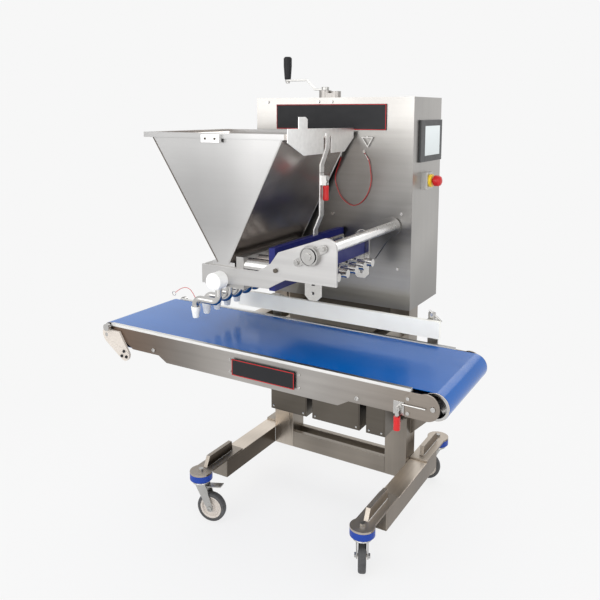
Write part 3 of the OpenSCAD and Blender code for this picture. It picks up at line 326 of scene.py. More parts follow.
def screen_finish(name, rgb):
    """Idle screen: a pale face that fades down, behind smooth glass."""
    face = Finish(name, 0.12)
    low, high = (corner.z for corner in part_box("screen_housing"))
    tone = face.ramp(face.along("Z", low, high), [(0, tint(rgb, 0.85)), (1, tint(rgb, 1.1))])
    face.base(tone)
    face.link(tone, face.shader.inputs["Emission Color"])
    face.shader.inputs["Emission Strength"].default_value = 0.25
    face.shader.inputs["Coat Weight"].default_value = 0.6
    face.rough(face.noise(30), 0.08, 0.16)


def cord_finish(name, rgb):
    """Plastic-covered wire rope: the lay of the wires shows faintly through the cover."""
    cover = Finish(name, 0.3)
    strands = cover.noise(260, (1, 1, 0.5), 2.0, 0.8)
    cover.base(cover.shade(strands, tint(rgb, 0.82), tint(rgb, 1.12)))
    cover.rough(strands, 0.24, 0.4)
    cover.bump(strands, 0.2, 0.0003)


def make_finishes(colours):
    """Every finish, with painted light, shade and reflection: the tones that each face shows under the
    studio's lamps.
    """
    # Paler and darker copies of the stand's steel, for painted light and shade.
    def stand(factor):
        return tint(colours.stand, factor)[:3]

    low, top = (corner.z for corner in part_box("cabinet_panels"))
    left, right = (corner.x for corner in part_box("conveyor_panels"))
    west, east = (corner.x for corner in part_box("base_frame"))
    # Painted reflection along the conveyor: a darker, brownish left end and a darker right end.
    brushed("panel_sheet", colours.panel, 0.36, "X", 0.14,
            ("X", left, right, [(0, (0.48, 0.34, 0.26)), (0.16, (0.52, 0.43, 0.37)), (0.3, (0.64, 0.62, 0.6)),
                                (0.5, 1.0), (0.72, 0.98), (1, (0.66, 0.61, 0.56))]))
    # Painted reflection on the wear strips' top faces: bright at the left, dark in the middle and towards the
    # right.
    brushed("strip_top", colours.strip, 0.34, "X", 0.06,
            ("X", left, right, [(0.28, 1.3), (0.46, 0.42), (0.7, 0.25), (0.92, 0.5)]))
    # Painted shade: the control boxes' darkened steel.
    brushed("box_sheet", colours.boxes, 0.34, "X")
    brushed("stand_tube_y", colours.stand, 0.3, "Y", 0.26)
    # Painted light: the posts' fronts paler on the left and darker on the right.
    brushed("stand_tube_z", colours.stand, 0.3, "Z", 0.26,
            ("X", west, east, [(0.1, 1.5), (0.5, 1.0), (0.9, 0.85)]))
    # Painted shade: a darker copy of the stand's steel for the cross beams.
    brushed("stand_beam", stand(0.85), 0.3, "X", 0.3)
    # Painted shade: a darker copy for the posts' side faces.
    brushed("post_side", stand(0.8), 0.3, "Z", 0.26)
    # Painted shade: a darker copy for side faces, darker still towards the left.
    brushed("stand_side", stand(0.62), 0.3, "Z", 0.26,
            ("X", west, east, [(0.1, (0.42, 0.37, 0.32)), (0.9, (0.8, 0.73, 0.66))]))
    # Painted light: a paler copy for the rails' top faces, palest towards the left.
    brushed("stand_top", stand(1.3), 0.34, "Y", 0.26,
            ("X", west, east, [(0.1, 2.0), (0.9, 1.5)]))
    # Painted light: a paler copy of the stand's steel for the caster brackets.
    brushed("bracket_steel", stand(1.35), 0.46, "Y", 0.2)
    # Painted reflection and shade: the cabinet's steel palest at the top, darkest through the middle and a
    # little paler at the foot.
    brushed("cabinet_sheet", colours.cabinet, 0.3, "X", 0.14,
            ("Z", low, top, [(0, 0.8), (0.2, 0.63), (0.45, 0.54), (0.72, 0.6), (0.86, 0.93), (0.94, 1.06)]))
    # Painted shade: a copy for the cabinet's side faces, darker towards the foot.
    brushed("cabinet_side", colours.cabinet, 0.32, "Z", 0.08,
            ("Z", low, top, [(0, 0.52), (0.3, 0.82), (0.7, 0.9), (1, 0.9)]))
    left, right = (corner.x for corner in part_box("hopper_shell"))
    low, top = (corner.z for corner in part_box("hopper_shell"))
    # Painted reflection: a copy for the hopper's side faces, paler upwards.
    brushed("hopper_side", colours.hopper, 0.26, "Y", 0.34,
            ("Z", low, top, [(0, (1.1, 1.0, 0.95)), (0.5, (1.5, 1.4, 1.33)), (1, (1.7, 1.6, 1.52))]),
            streak=0.012)
    # Painted reflection on the hopper's front and back: paler to the right and towards the foot.
    brushed("hopper_sheet", colours.hopper, 0.28, "X", 0.08,
            ("X", left, right, [(0.1, 1.0), (0.4, 0.93), (0.6, 1.0), (0.8, 1.25)]),
            ("Z", low, top, [(0.02, 1.45), (0.3, 1.1), (0.6, 1.0), (1, 0.97)]), streak=0.008)
    # Painted shade: the seams darker on the left than on the right.
    brushed("seam_steel", colours.bright, 0.3, "Z", 0.05,
            ("X", left, right, [(0.52, (0.2, 0.18, 0.16)), (0.6, 1.0)]))
    brushed("blasted_plate", colours.plate, 0.38, "X", 0.05)
    # Painted highlight on the guard plate and strap.
    brushed("guard_sheet", colours.guard, 0.36, "X", 0.05)
    brushed("valve_steel", colours.body, 0.34, "Y", 0.06)
    turned_metal("cast_steel", colours.cast, 0.34)
    turned_metal("bright_steel", colours.bright, 0.2)
    turned_metal("tube_steel", colours.guard, 0.3)
    turned_metal("zinc_steel", colours.zinc, 0.32)
    belt_finish("belt_blue", colours.belt)
    moulded("navy_plastic", colours.navy, 0.36, gloss=0.3)
    moulded("ring_blue", colours.ring, 0.4, gloss=0.3)
    moulded("white_plastic", colours.white, 0.36)
    moulded("strip_plastic", colours.strip, 0.36)
    # Painted light on the guide rail.
    moulded("rail_plastic", colours.rail, 0.4)
    moulded("cream_plastic", colours.cream, 0.4)
    moulded("black_plastic", colours.black, 0.4, 500, gloss=0.25)
    moulded("red_plastic", colours.red, 0.34, gloss=0.35)
    moulded("yellow_plastic", colours.yellow, 0.34)
    moulded("bezel_plastic", colours.bezel, 0.4, 600, 0.12)
    tyre_finish("tyre_rubber", colours.tyre)
    screen_finish("screen_face", colours.glass)
    cord_finish("red_cord", colours.red)


def clear_selection():
    """Leaves no object selected."""
    bpy.ops.object.select_all(action="DESELECT")


def only(obj):
    """Selects one object alone."""
    clear_selection()
    obj.select_set(True)
    bpy.context.view_layer.objects.active = obj


def edit(obj):
    """Opens a mesh with all of it selected."""
    only(obj)
    bpy.ops.object.mode_set(mode="EDIT")
    bpy.ops.mesh.select_all(action="SELECT")


def done():
    """Closes the open mesh."""
    bpy.ops.object.mode_set(mode="OBJECT")


def smooth(obj, angle=SHARP):
    only(obj)
    bpy.ops.object.shade_smooth_by_angle(angle=angle)
    return obj


def flatten(obj):
    """Keeps broad faces flat beside rounded edges."""
    only(obj)
    even = obj.modifiers.new("flat", "WEIGHTED_NORMAL")
    even.keep_sharp = True
    bpy.ops.object.modifier_apply(modifier=even.name)
    return obj


def round_edges(obj, width, segments):
    """Rounds the sharp edges of a piece."""
    only(obj)
    bevel = obj.modifiers.new("edges", "BEVEL")
    bevel.width = width
    bevel.segments = segments
    bevel.limit_method = "ANGLE"
    bevel.angle_limit = SHARP
    bevel.miter_outer = "MITER_ARC"
    bpy.ops.object.modifier_apply(modifier=bevel.name)


def coat(obj, *names):
    """Gives a piece its finishes, the first of them on every face."""
    obj.data.materials.clear()
    for name in names:
        obj.data.materials.append(FINISHES[name])
    return obj


def paint(obj, index, test):
    """Gives the faces whose centre passes the test another of the piece's finishes."""
    for face in obj.data.polygons:
        if test(face.center):
            face.material_index = index


def paint_sides(obj, index, axis="x", least=0.9):
    """Gives the faces that look along an axis another of the piece's finishes."""
    for face in obj.data.polygons:
        if abs(getattr(face.normal, axis)) > least:
            face.material_index = index
    return obj


def dress(node, finish, width, segments=2, *more):
    """A CAD piece with whole faces, rounded edges and its finish."""
    source = NODES[node]
    obj = bpy.data.objects.new(node + "_dressed", source.data.copy())
    bpy.context.scene.collection.objects.link(obj)
    only(obj)
    bpy.ops.mesh.customdata_custom_splitnormals_clear()
    edit(obj)
    bpy.ops.mesh.remove_doubles(threshold=MERGE)
    bpy.ops.mesh.dissolve_limited(angle_limit=FLAT)
    done()
    for face in obj.data.polygons:
        face.material_index = 0
    if width:
        round_edges(obj, width, segments)
    flatten(smooth(obj))
    coat(obj, finish, *more)
    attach(obj, source["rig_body"])
    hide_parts(node)
    return obj


def added(obj, body, finish):
    """Hands a new piece to its body."""
    coat(obj, finish)
    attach(obj, body)
    return obj


def settle(obj, matrix):
    """Moves a new piece to its place and leaves its object at the origin."""
    only(obj)
    obj.matrix_world = matrix
    bpy.ops.object.transform_apply(location=True, rotation=True, scale=True)
    return obj


def turned(name, steps, sides=40, ring=False):
    """Turns a profile of radius and height steps about Z. A ring comes back to its first step."""
    clear_selection()
    radius, height = steps[0]
    bpy.ops.mesh.primitive_circle_add(vertices=sides, radius=radius, location=(0, 0, height),
                                      fill_type="NOTHING" if ring else "NGON")
    obj = bpy.context.object
    obj.name = name
    bpy.ops.object.transform_apply(location=True)
    edit(obj)
    for (r0, z0), (r1, z1) in zip(steps, steps[1:] + ([steps[0]] if ring else [])):
        bpy.ops.mesh.extrude_region_move(TRANSFORM_OT_translate={"value": (0, 0, z1 - z0)})
        bpy.ops.transform.resize(value=(r1 / r0, r1 / r0, 1), center_override=(0, 0, z1))
    bpy.ops.mesh.select_all(action="SELECT")
    bpy.ops.mesh.remove_doubles(threshold=MERGE / 2)
    bpy.ops.mesh.normals_make_consistent(inside=False)
    done()
    return smooth(obj, math.radians(35))


def slab(name, low, high, edge):
    """A block between two corners with rounded edges."""
    clear_selection()
    bpy.ops.mesh.primitive_cube_add(size=1, location=(low + high) / 2, scale=high - low)
    obj = bpy.context.object
    obj.name = name
    bpy.ops.object.transform_apply(location=True, rotation=True, scale=True)
    edit(obj)
    bpy.ops.mesh.select_mode(type="EDGE")
    bpy.ops.mesh.select_all(action="SELECT")
    bpy.ops.mesh.bevel(offset=edge, segments=2, affect="EDGES")
    done()
    return flatten(smooth(obj))


def wire(name, points, radius, sides):
    """A round wire through points, as a curve."""
    curve = bpy.data.curves.new(name, "CURVE")
    curve.dimensions = "3D"
    curve.bevel_depth = radius
    curve.bevel_resolution = sides
    curve.use_fill_caps = True
    line = curve.splines.new("POLY")
    line.points.add(len(points) - 1)
    for point, place in zip(line.points, points):
        point.co = (*place, 1)
    obj = bpy.data.objects.new(name, curve)
    bpy.context.scene.collection.objects.link(obj)
    return obj


def solid(obj):
    """A wire as a mesh."""
    only(obj)
    bpy.ops.object.convert(target="MESH")
    return smooth(bpy.context.object, math.radians(60))


def rod(name, points, radius, sides=3):
    return solid(wire(name, points, radius, sides))


def joined(name, pieces):
    """Several pieces as one."""
    clear_selection()
    for piece in pieces:
        piece.select_set(True)
    bpy.context.view_layer.objects.active = pieces[0]
    bpy.ops.object.join()
    pieces[0].name = name
    return pieces[0]


def facing(place, axis):
    """The place of a piece that stands along an axis."""
    return Matrix.Translation(place) @ Vector(axis).to_track_quat("Z", "Y").to_matrix().to_4x4()


def from_axis(point, axis):
    """Distance of a point from an axis that runs along Y."""
    return math.hypot(point.x - axis.x, point.z - axis.z)


SCREW = [(1, 0), (1, 0.5), (0.82, 0.72), (0.5, 0.74), (0.46, 0.35)]


def screws(name, places, axis, radius, body, finish="bright_steel"):
    """Socket-head screws standing on the given points."""
    heads = []
    for place in places:
        head = turned(name, [(radius * wide, radius * tall) for wide, tall in SCREW], 20)
        heads.append(settle(head, facing(place, axis)))
    added(joined(name, heads), body, finish)


def weld(name, lines, radius, body, slot):
    """Rippled weld beads along straight lines."""
    pitch, neck = radius * 1.4, 0.72
    beads = []
    for start, end in lines:
        count = max(8, int((end - start).length / pitch))
        bead = wire(name, [start.lerp(end, i / count) for i in range(count + 1)], radius, 1)
        for i, point in enumerate(bead.data.splines[0].points):
            point.radius = 1.0 if i % 2 else neck
        beads.append(solid(bead))
    added(joined(name, beads), body, "bright_steel")


class DEPOSITOR_OT_stage(Operator):
    """Sets the camera, the floor, the lamps and the room"""

    bl_idname = "depositor.stage"
    bl_label = "Stage"

    EYE = (1.3593, -2.4313, 1.7109)
    SHIFT = (0.0086, -0.1537)
    SENSOR, REACH = 36, 100
    LAMPS = (("key_lamp", (-1.9, -4.0, 2.7), 1.0, 3.2, "key"),
             ("front_lamp", (0.4, -4.0, 1.3), 0.9, 2.4, "front"),
             ("fill_lamp", (3.2, -2.2, 2.2), 0.9, 2.4, "fill"),
             ("back_lamp", (0.6, 3.0, 3.4), 1.2, 2.4, "fill"))
    FLOOR_R, FLOOR_Z = 30, -0.001
    SHADOW = {"From Min": 0.5, "From Max": 2.4, "To Min": 0.82}

    def execute(self, context):
        view = context.scene.depositor_view
        scene = context.scene
        scene.view_settings.view_transform = "Standard"
        clear_selection()
        bpy.ops.object.camera_add(location=self.EYE,
                                  rotation=(math.radians(90) - view.tilt, 0, view.turn))
        camera = context.object
        camera.name = "camera"
        camera.data.lens = view.lens
        camera.data.sensor_width = self.SENSOR
        camera.data.shift_x, camera.data.shift_y = self.SHIFT
        camera.data.clip_end = self.REACH
        scene.camera = camera
        self.room(scene, view)
        self.floor(view)
        for name, place, height, size, power in self.LAMPS:
            self.lamp(name, place, (0, 0, height), size, getattr(view, power))
        return {"FINISHED"}

    def lamp(self, name, place, target, size, power):
        clear_selection()
        turn = (Vector(target) - Vector(place)).to_track_quat("-Z", "Y").to_euler()
        bpy.ops.object.light_add(type="AREA", location=place, rotation=turn)
        lamp = bpy.context.object
        lamp.name = name
        lamp.data.size = size
        lamp.data.energy = power

    def seen(self, tree):
        """One where the camera, a mirror or clear glass looks, and nought where light is gathered."""
        path = tree.nodes.new("ShaderNodeLightPath")
        best = path.outputs["Is Camera Ray"]
        for name in ("Is Glossy Ray", "Is Transmission Ray"):
            most = tree.nodes.new("ShaderNodeMath")
            most.operation = "MAXIMUM"
            tree.links.new(best, most.inputs[0])
            tree.links.new(path.outputs[name], most.inputs[1])
            best = most.outputs["Value"]
        return best

    def room(self, scene, view):
        world = bpy.data.worlds.new("room")
        world.use_nodes = True
        scene.world = world
        tree = world.node_tree
        light = tree.nodes["Background"]
        light.inputs["Color"].default_value = (1, 1, 1, 1)
        light.inputs["Strength"].default_value = view.ambient
        paper = tree.nodes.new("ShaderNodeBackground")
        paper.inputs["Color"].default_value = grey(view.paper)
        mix = tree.nodes.new("ShaderNodeMixShader")
        tree.links.new(self.seen(tree), mix.inputs["Fac"])
        tree.links.new(light.outputs["Background"], mix.inputs[1])
        tree.links.new(paper.outputs["Background"], mix.inputs[2])
        tree.links.new(mix.outputs["Shader"], tree.nodes["World Output"].inputs["Surface"])

    def floor(self, view):
        clear_selection()
        bpy.ops.mesh.primitive_circle_add(vertices=64, radius=self.FLOOR_R, fill_type="NGON",
                                          location=(0, 0, self.FLOOR_Z))
        floor = bpy.context.object
        floor.name = "floor"
        material = bpy.data.materials.new("floor_paper")
        material.use_nodes = True
        tree = material.node_tree
        matt = tree.nodes["Principled BSDF"]
        matt.inputs["Base Color"].default_value = grey(0.86)
        matt.inputs["Roughness"].default_value = 0.9
        matt.inputs["Specular IOR Level"].default_value = 0.0
        paper = tree.nodes.new("ShaderNodeEmission")
        paper.inputs["Color"].default_value = grey(view.paper)
        where = tree.nodes.new("ShaderNodeTexCoord")
        far = tree.nodes.new("ShaderNodeVectorMath")
        far.operation = "LENGTH"
        tree.links.new(where.outputs["Object"], far.inputs[0])
        fade = tree.nodes.new("ShaderNodeMapRange")
        fade.interpolation_type = "SMOOTHSTEP"
        for name, value in self.SHADOW.items():
            fade.inputs[name].default_value = value
        tree.links.new(far.outputs["Value"], fade.inputs["Value"])
        both = tree.nodes.new("ShaderNodeMath")
        both.operation = "MULTIPLY"
        tree.links.new(self.seen(tree), both.inputs[0])
        tree.links.new(fade.outputs["Result"], both.inputs[1])
        mix = tree.nodes.new("ShaderNodeMixShader")
        tree.links.new(both.outputs["Value"], mix.inputs["Fac"])
        tree.links.new(matt.outputs["BSDF"], mix.inputs[1])
        tree.links.new(paper.outputs["Emission"], mix.inputs[2])
        tree.links.new(mix.outputs["Shader"], tree.nodes["Material Output"].inputs["Surface"])
        floor.data.materials.append(material)


class DEPOSITOR_OT_lanyard(Operator):
    """Hangs the red lanyard between its two studs on the cabinet"""

    bl_idname = "depositor.lanyard"
    bl_label = "Lanyard"

    ROUTE = [(60, 1555.5), (50, 1510), (32, 1460), (30, 1420), (52, 1366), (84, 1336), (113, 1326),
             (146, 1338), (176, 1374), (192, 1424), (190, 1470), (182, 1512), (161.6, 1543.5)]
    STEPS = 6
    DEPTH = 388
    SLEEVE = [(1.05, 0.12), (1.5, 0.16), (1.5, 0.4), (1.25, 0.44), (1.25, 0.52), (1.5, 0.56), (1.5, 0.8),
              (1.05, 0.84)]

    def line(self):
        """The route with smooth bends through its points."""
        def point(i):
            x, z = self.ROUTE[min(max(i, 0), len(self.ROUTE) - 1)]
            return at(x, self.DEPTH, z)
        places = []
        for i in range(len(self.ROUTE) - 1):
            a, b, c, d = (point(i + k) for k in (-1, 0, 1, 2))
            for k in range(self.STEPS):
                t = k / self.STEPS
                places.append(b + (c - a) * t / 2 + (2 * a - 5 * b + 4 * c - d) * t * t / 2
                              + (3 * b - a - 3 * c + d) * t ** 3 / 2)
        return places + [point(len(self.ROUTE) - 1)]

    def execute(self, context):
        sizes = context.scene.depositor_sizes
        places = self.line()
        r = sizes.cord / 2
        cord = coat(wire("lanyard_cord", places, r, 4), "red_cord")
        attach(cord, "depositor")
        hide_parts("lanyard")
        for name, near, far in (("lanyard_sleeve_a", 0, 5), ("lanyard_sleeve_b", -1, -7)):
            start, end = places[near], places[far]
            long = (end - start).length
            sleeve = turned(name, [(r * wide, long * part) for wide, part in self.SLEEVE], 20, True)
            settle(sleeve, facing(start, end - start))
            added(sleeve, "depositor", "bright_steel")
        return {"FINISHED"}


class DEPOSITOR_OT_stand(Operator):
    """Dresses the floor rails, the posts, the caster brackets, the forks and the pedals"""

    bl_idname = "depositor.stand"
    bl_label = "Stand"

    LEG = 0.023
    AXLE_HEAD = [(0.0105, 0), (0.0105, 0.006), (0.009, 0.0072), (0.0045, 0.0072), (0.004, 0.005)]
    RACE = [(0.036, 0.1712), (0.0372, 0.1686), (0.0364, 0.1662), (0.032, 0.164), (0.027, 0.1606),
            (0.024, 0.1572), (0.008, 0.1572)]
    POST_FRONT, POST_BACK, POST_INSET = 480, 578, 0.004
    RIB_HALF, RIB_FOOT = 0.009, 0.008
    RIB_NEAR, RIB_FAR = 0.03, 0.208

    def execute(self, context):
        sizes = context.scene.depositor_sizes
        # The rails get painted shade on their side faces and cross beams and painted light on their top
        # faces.
        rails = dress("base_frame", "stand_tube_y", sizes.tube_edge, 3, "stand_side", "stand_top",
                      "stand_beam")
        paint_sides(paint_sides(rails, 1), 2, "z")
        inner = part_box("base_frame")[1].x - RAIL_W
        paint(rails, 3, lambda centre: abs(centre.x) < inner - sizes.tube_edge)
        # The posts' side faces get the painted shade.
        paint_sides(dress("mast_posts", "stand_tube_z", sizes.tube_edge * 0.75, 3, "post_side"), 1)
        dress("mast_head", "zinc_steel", sizes.block_edge)
        # The caster brackets get the paler copy as painted light, their ribs' side faces the painted shade.
        paint_sides(dress("caster_brackets", "bracket_steel", sizes.sheet_edge, 2, "stand_side"), 1)
        dress("bumper_rings", "ring_blue", sizes.block_edge * 1.5, 3)
        for corner in TURNS:
            dress("fork_" + corner, "zinc_steel", sizes.sheet_edge)
        for corner in ("fl", "fr"):
            dress("pedal_" + corner, "zinc_steel", sizes.sheet_edge)
        for corner, turn in TURNS.items():
            low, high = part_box("wheel_" + corner)
            across = Matrix.Rotation(math.radians(turn), 3, "Z") @ Vector((0, 1, 0))
            heads = []
            for side in (-1, 1):
                head = turned("axle_head", self.AXLE_HEAD, 6)
                place = (low + high) / 2 + across * side * self.LEG
                heads.append(settle(head, facing(place, across * side)))
            body = NODES["fork_" + corner]["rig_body"]
            added(joined("axle_heads_" + corner, heads), body, "zinc_steel")
            low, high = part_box("fork_" + corner)
            race = turned("race_" + corner, self.RACE, 48)
            stem = Vector((math.copysign(STEM_X, high.x + low.x), STEM_Y[corner[0]], 0))
            settle(race, Matrix.Translation(stem))
            added(race, body, "zinc_steel")
        self.welds(sizes.weld)
        return {"FINISHED"}

    def welds(self, radius):
        """Beads where the posts meet the floor rails and along the foot of the brackets' ribs."""
        low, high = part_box("base_frame")
        rail = high.x - RAIL_W
        foot = high.z + self.RIB_FOOT
        lines = []
        for side in (-1, 1):
            for y in (at(0, self.POST_FRONT, 0).y, at(0, self.POST_BACK, 0).y):
                lines.append((Vector((side * rail, y, low.z + self.POST_INSET)),
                              Vector((side * rail, y, high.z - self.POST_INSET))))
            for y, way in ((STEM_Y["f"], 1), (STEM_Y["r"], -1)):
                for edge in (side * STEM_X - self.RIB_HALF, side * STEM_X + self.RIB_HALF):
                    lines.append((Vector((edge, y + way * self.RIB_NEAR, foot)),
                                  Vector((edge, y + way * self.RIB_FAR, foot))))
        weld("stand_welds", lines, radius, "stand", "stainless")


class DEPOSITOR_OT_wheels(Operator):
    """Models one caster wheel and sets a copy on each fork"""

    bl_idname = "depositor.wheels"
    bl_label = "Wheels"

    TREAD = (0.0625, 0)
    TYRE = [(0.0485, -0.0145), (0.055, -0.0150), (0.0592, -0.0138), (0.0614, -0.0108), (0.0624, -0.006)]
    HUB = [(0.0068, -0.0168), (0.015, -0.0168), (0.017, -0.0150), (0.0185, -0.008), (0.0365, -0.0062),
           (0.0405, -0.0122), (0.0470, -0.0132), (0.0484, -0.0118)]

    def mirrored(self, half):
        return [(radius, -height) for radius, height in reversed(half)]

    def execute(self, context):
        tyre = turned("tyre", [*self.TYRE, self.TREAD, *self.mirrored(self.TYRE)], 72, True)
        hub = turned("hub", [*self.HUB, *self.mirrored(self.HUB)], 72, True)
        for corner, turn in TURNS.items():
            node = "wheel_" + corner
            low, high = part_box(node)
            spin = Matrix.Rotation(math.radians(turn), 4, "Z") @ Matrix.Rotation(math.radians(90), 4, "X")
            place = Matrix.Translation((low + high) / 2) @ spin
            for first, finish, slot in ((tyre, "tyre_rubber", "wheel_rubber"),
                                        (hub, "cream_plastic", "cream_plastic")):
                only(first)
                bpy.ops.object.duplicate()
                copy = bpy.context.object
                copy.name = f"{first.name}_{corner}"
                settle(copy, place)
                added(copy, NODES[node]["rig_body"], finish)
                if first == tyre:
                    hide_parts(node)
        for first in (tyre, hub):
            only(first)
            bpy.ops.object.delete()
        return {"FINISHED"}


class DEPOSITOR_OT_conveyor(Operator):
    """Dresses the conveyor: panels, strips, bed, belt, drums, links, end plates, latch and bare plate"""

    bl_idname = "depositor.conveyor"
    bl_label = "Conveyor"

    BELT_EDGE, GRIP_EDGE = 0.0005, 0.0024
    TAIL_X, TAIL_Z, GRIP_Z = -560, 775, 766
    RING_Y, RING_R = 0.2025, 0.0362
    SHAFT_R, CORE_R = 0.0085, 0.0365
    FRONT = -222
    SCREW_X, SCREW_Z, SCREW_R = (-77, 215), (773, 819), 0.0055
    BOLT_X, BOLT_Z, BOLT_R = (-448, 435), 785, 0.008

    def execute(self, context):
        sizes = context.scene.depositor_sizes
        dress("conveyor_panels", "panel_sheet", sizes.sheet_edge)
        dress("end_plates", "panel_sheet", sizes.block_edge)
        dress("tail_links", "cream_plastic", sizes.block_edge, 3)
        fittings = dress("conveyor_fittings", "bright_steel", sizes.sheet_edge * 0.8, 2, "black_plastic")
        tail = at(self.TAIL_X, 0, self.TAIL_Z)
        paint(fittings, 1, lambda c: c.x < tail.x and c.z < tail.z)
        # The wear strips' top faces get the painted reflection.
        paint_sides(dress("wear_strips", "strip_plastic", sizes.sheet_edge, 2, "strip_top"), 1, "z")
        dress("slider_bed", "panel_sheet", sizes.sheet_edge * 0.5)
        dress("belt", "belt_blue", self.BELT_EDGE)
        for node in ("drive_drum", "tail_drum"):
            drum = dress(node, "bright_steel", sizes.sheet_edge * 0.7, 2, "cream_plastic", "black_plastic")
            low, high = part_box(node)
            middle = (low + high) / 2
            paint(drum, 1, lambda c: abs(c.y - middle.y) > self.RING_Y and from_axis(c, middle) > self.RING_R)
            # The drum cores are black: partly dark paint, partly painted shade in the recess.
            paint(drum, 2, lambda c: self.SHAFT_R < from_axis(c, middle) < self.CORE_R)
        grip = dress("latch_handle", "bright_steel", self.GRIP_EDGE, 3, "red_plastic")
        top = at(0, 0, self.GRIP_Z).z
        paint(grip, 1, lambda c: c.z < top)
        dress("panel_plate", "black_plastic", sizes.sheet_edge)
        low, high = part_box("panel_plate")
        border("panel_plate_line", low, high, sizes.border, "stand")
        places = [at(x, self.FRONT, z) for x in self.SCREW_X for z in self.SCREW_Z]
        screws("panel_plate_screws", places, (0, -1, 0), self.SCREW_R, "stand")
        places = [at(x, self.FRONT, self.BOLT_Z) for x in self.BOLT_X]
        screws("panel_bolts", places, (0, -1, 0), self.BOLT_R, "stand")
        return {"FINISHED"}


def border(name, low, high, width, body):
    """A thin raised line round the front of a bare plate."""
    inset, lift, thick = 0.001, 0.0001, 0.0006
    clear_selection()
    middle = (low + high) / 2
    bpy.ops.mesh.primitive_plane_add(size=1, location=(middle.x, low.y - lift, middle.z),
                                     rotation=(math.radians(90), 0, 0))
    obj = bpy.context.object
    obj.name = name
    obj.scale = (high.x - low.x - 2 * inset, high.z - low.z - 2 * inset, 1)
    bpy.ops.object.transform_apply(location=True, rotation=True, scale=True)
    edit(obj)
    bpy.ops.mesh.inset(thickness=width, use_boundary=True)
    bpy.ops.mesh.delete(type="FACE")
    bpy.ops.mesh.select_all(action="SELECT")
    bpy.ops.mesh.extrude_region_move(TRANSFORM_OT_translate={"value": (0, thick, 0)})
    bpy.ops.mesh.select_all(action="SELECT")
    bpy.ops.mesh.normals_make_consistent(inside=False)
    done()
    added(obj, body, "red_plastic")


class DEPOSITOR_OT_guide(Operator):
    """Dresses the guide rail, its brackets and its clamp knob"""

    bl_idname = "depositor.guide"
    bl_label = "Guide rail"

    def execute(self, context):
        sizes = context.scene.depositor_sizes
        # The guide rail's front gets the painted light.
        rail = dress("guide_rail", "rail_plastic", sizes.block_edge, 3, "bright_steel")
        back = at(0, 239.5, 0).y
        paint(rail, 1, lambda c: c.y > back)
        dress("rail_brackets", "zinc_steel", sizes.sheet_edge)
        dress("rail_knob", "bright_steel", sizes.sheet_edge)
        return {"FINISHED"}


class DEPOSITOR_OT_boxes(Operator):
    """Dresses the control boxes under the conveyor"""

    bl_idname = "depositor.boxes"
    bl_label = "Control boxes"

    LIDS = ((-241, -58), (-30, 197), (226, 312))
    ROWS = (408, 525)
    FRONT, MARGIN = 300, 15

    def execute(self, context):
        sizes = context.scene.depositor_sizes
        # The boxes take the darkened steel as painted shade.
        dress("control_boxes", "box_sheet", sizes.block_edge)
        places = [at(x, self.FRONT, z) for left, right in self.LIDS
                  for x in (left + self.MARGIN, right - self.MARGIN) for z in self.ROWS]
        screws("box_screws", places, (0, -1, 0), sizes.screw, "stand")
        return {"FINISHED"}


class DEPOSITOR_OT_cabinet(Operator):
    """Dresses the lift cabinet with its plate, screen, stop button, crank and fittings"""

    bl_idname = "depositor.cabinet"
    bl_label = "Lift cabinet"

    COLLAR_X = 396.2
    GLASS = ((499.5, 1533.5), (672.5, 1653.5))
    GLASS_BACK, GLASS_FRONT, GLASS_EDGE = 0.0022, 0.0006, 0.0004

    def execute(self, context):
        sizes = context.scene.depositor_sizes
        # The front and door get the painted reflection and shade; the side faces get the shaded copy.
        paint_sides(dress("cabinet_panels", "cabinet_sheet", sizes.block_edge, 2, "cabinet_side"), 1)
        dress("cabinet_door", "cabinet_sheet", sizes.block_edge)
        dress("guide_pads", "white_plastic", sizes.sheet_edge)
        dress("cabinet_plate", "black_plastic", sizes.sheet_edge)
        low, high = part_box("cabinet_plate")
        border("cabinet_plate_line", low, high, sizes.border, "depositor")
        dress("screen_housing", "bezel_plastic", sizes.block_edge, 3)
        self.screen()
        box = dress("stop_box", "zinc_steel", sizes.block_edge, 3, "yellow_plastic")
        face = at(self.COLLAR_X, 0, 0).x
        paint(box, 1, lambda c: c.x > face)
        dress("stop_button", "red_plastic", sizes.sheet_edge * 0.9, 3)
        dress("crank_bracket", "panel_sheet", sizes.sheet_edge)
        dress("crank", "zinc_steel", sizes.sheet_edge)
        dress("crank_grip", "black_plastic", sizes.sheet_edge, 3)
        dress("cabinet_fittings", "bright_steel", sizes.sheet_edge * 0.5)
        return {"FINISHED"}

    def screen(self):
        """The glass in the screen's housing."""
        low, high = (at(0, y, z) for y, z in self.GLASS)
        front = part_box("screen_housing")[1].x
        low.x, high.x = front - self.GLASS_BACK, front - self.GLASS_FRONT
        added(slab("screen_glass", low, high, self.GLASS_EDGE), "depositor", "screen_face")


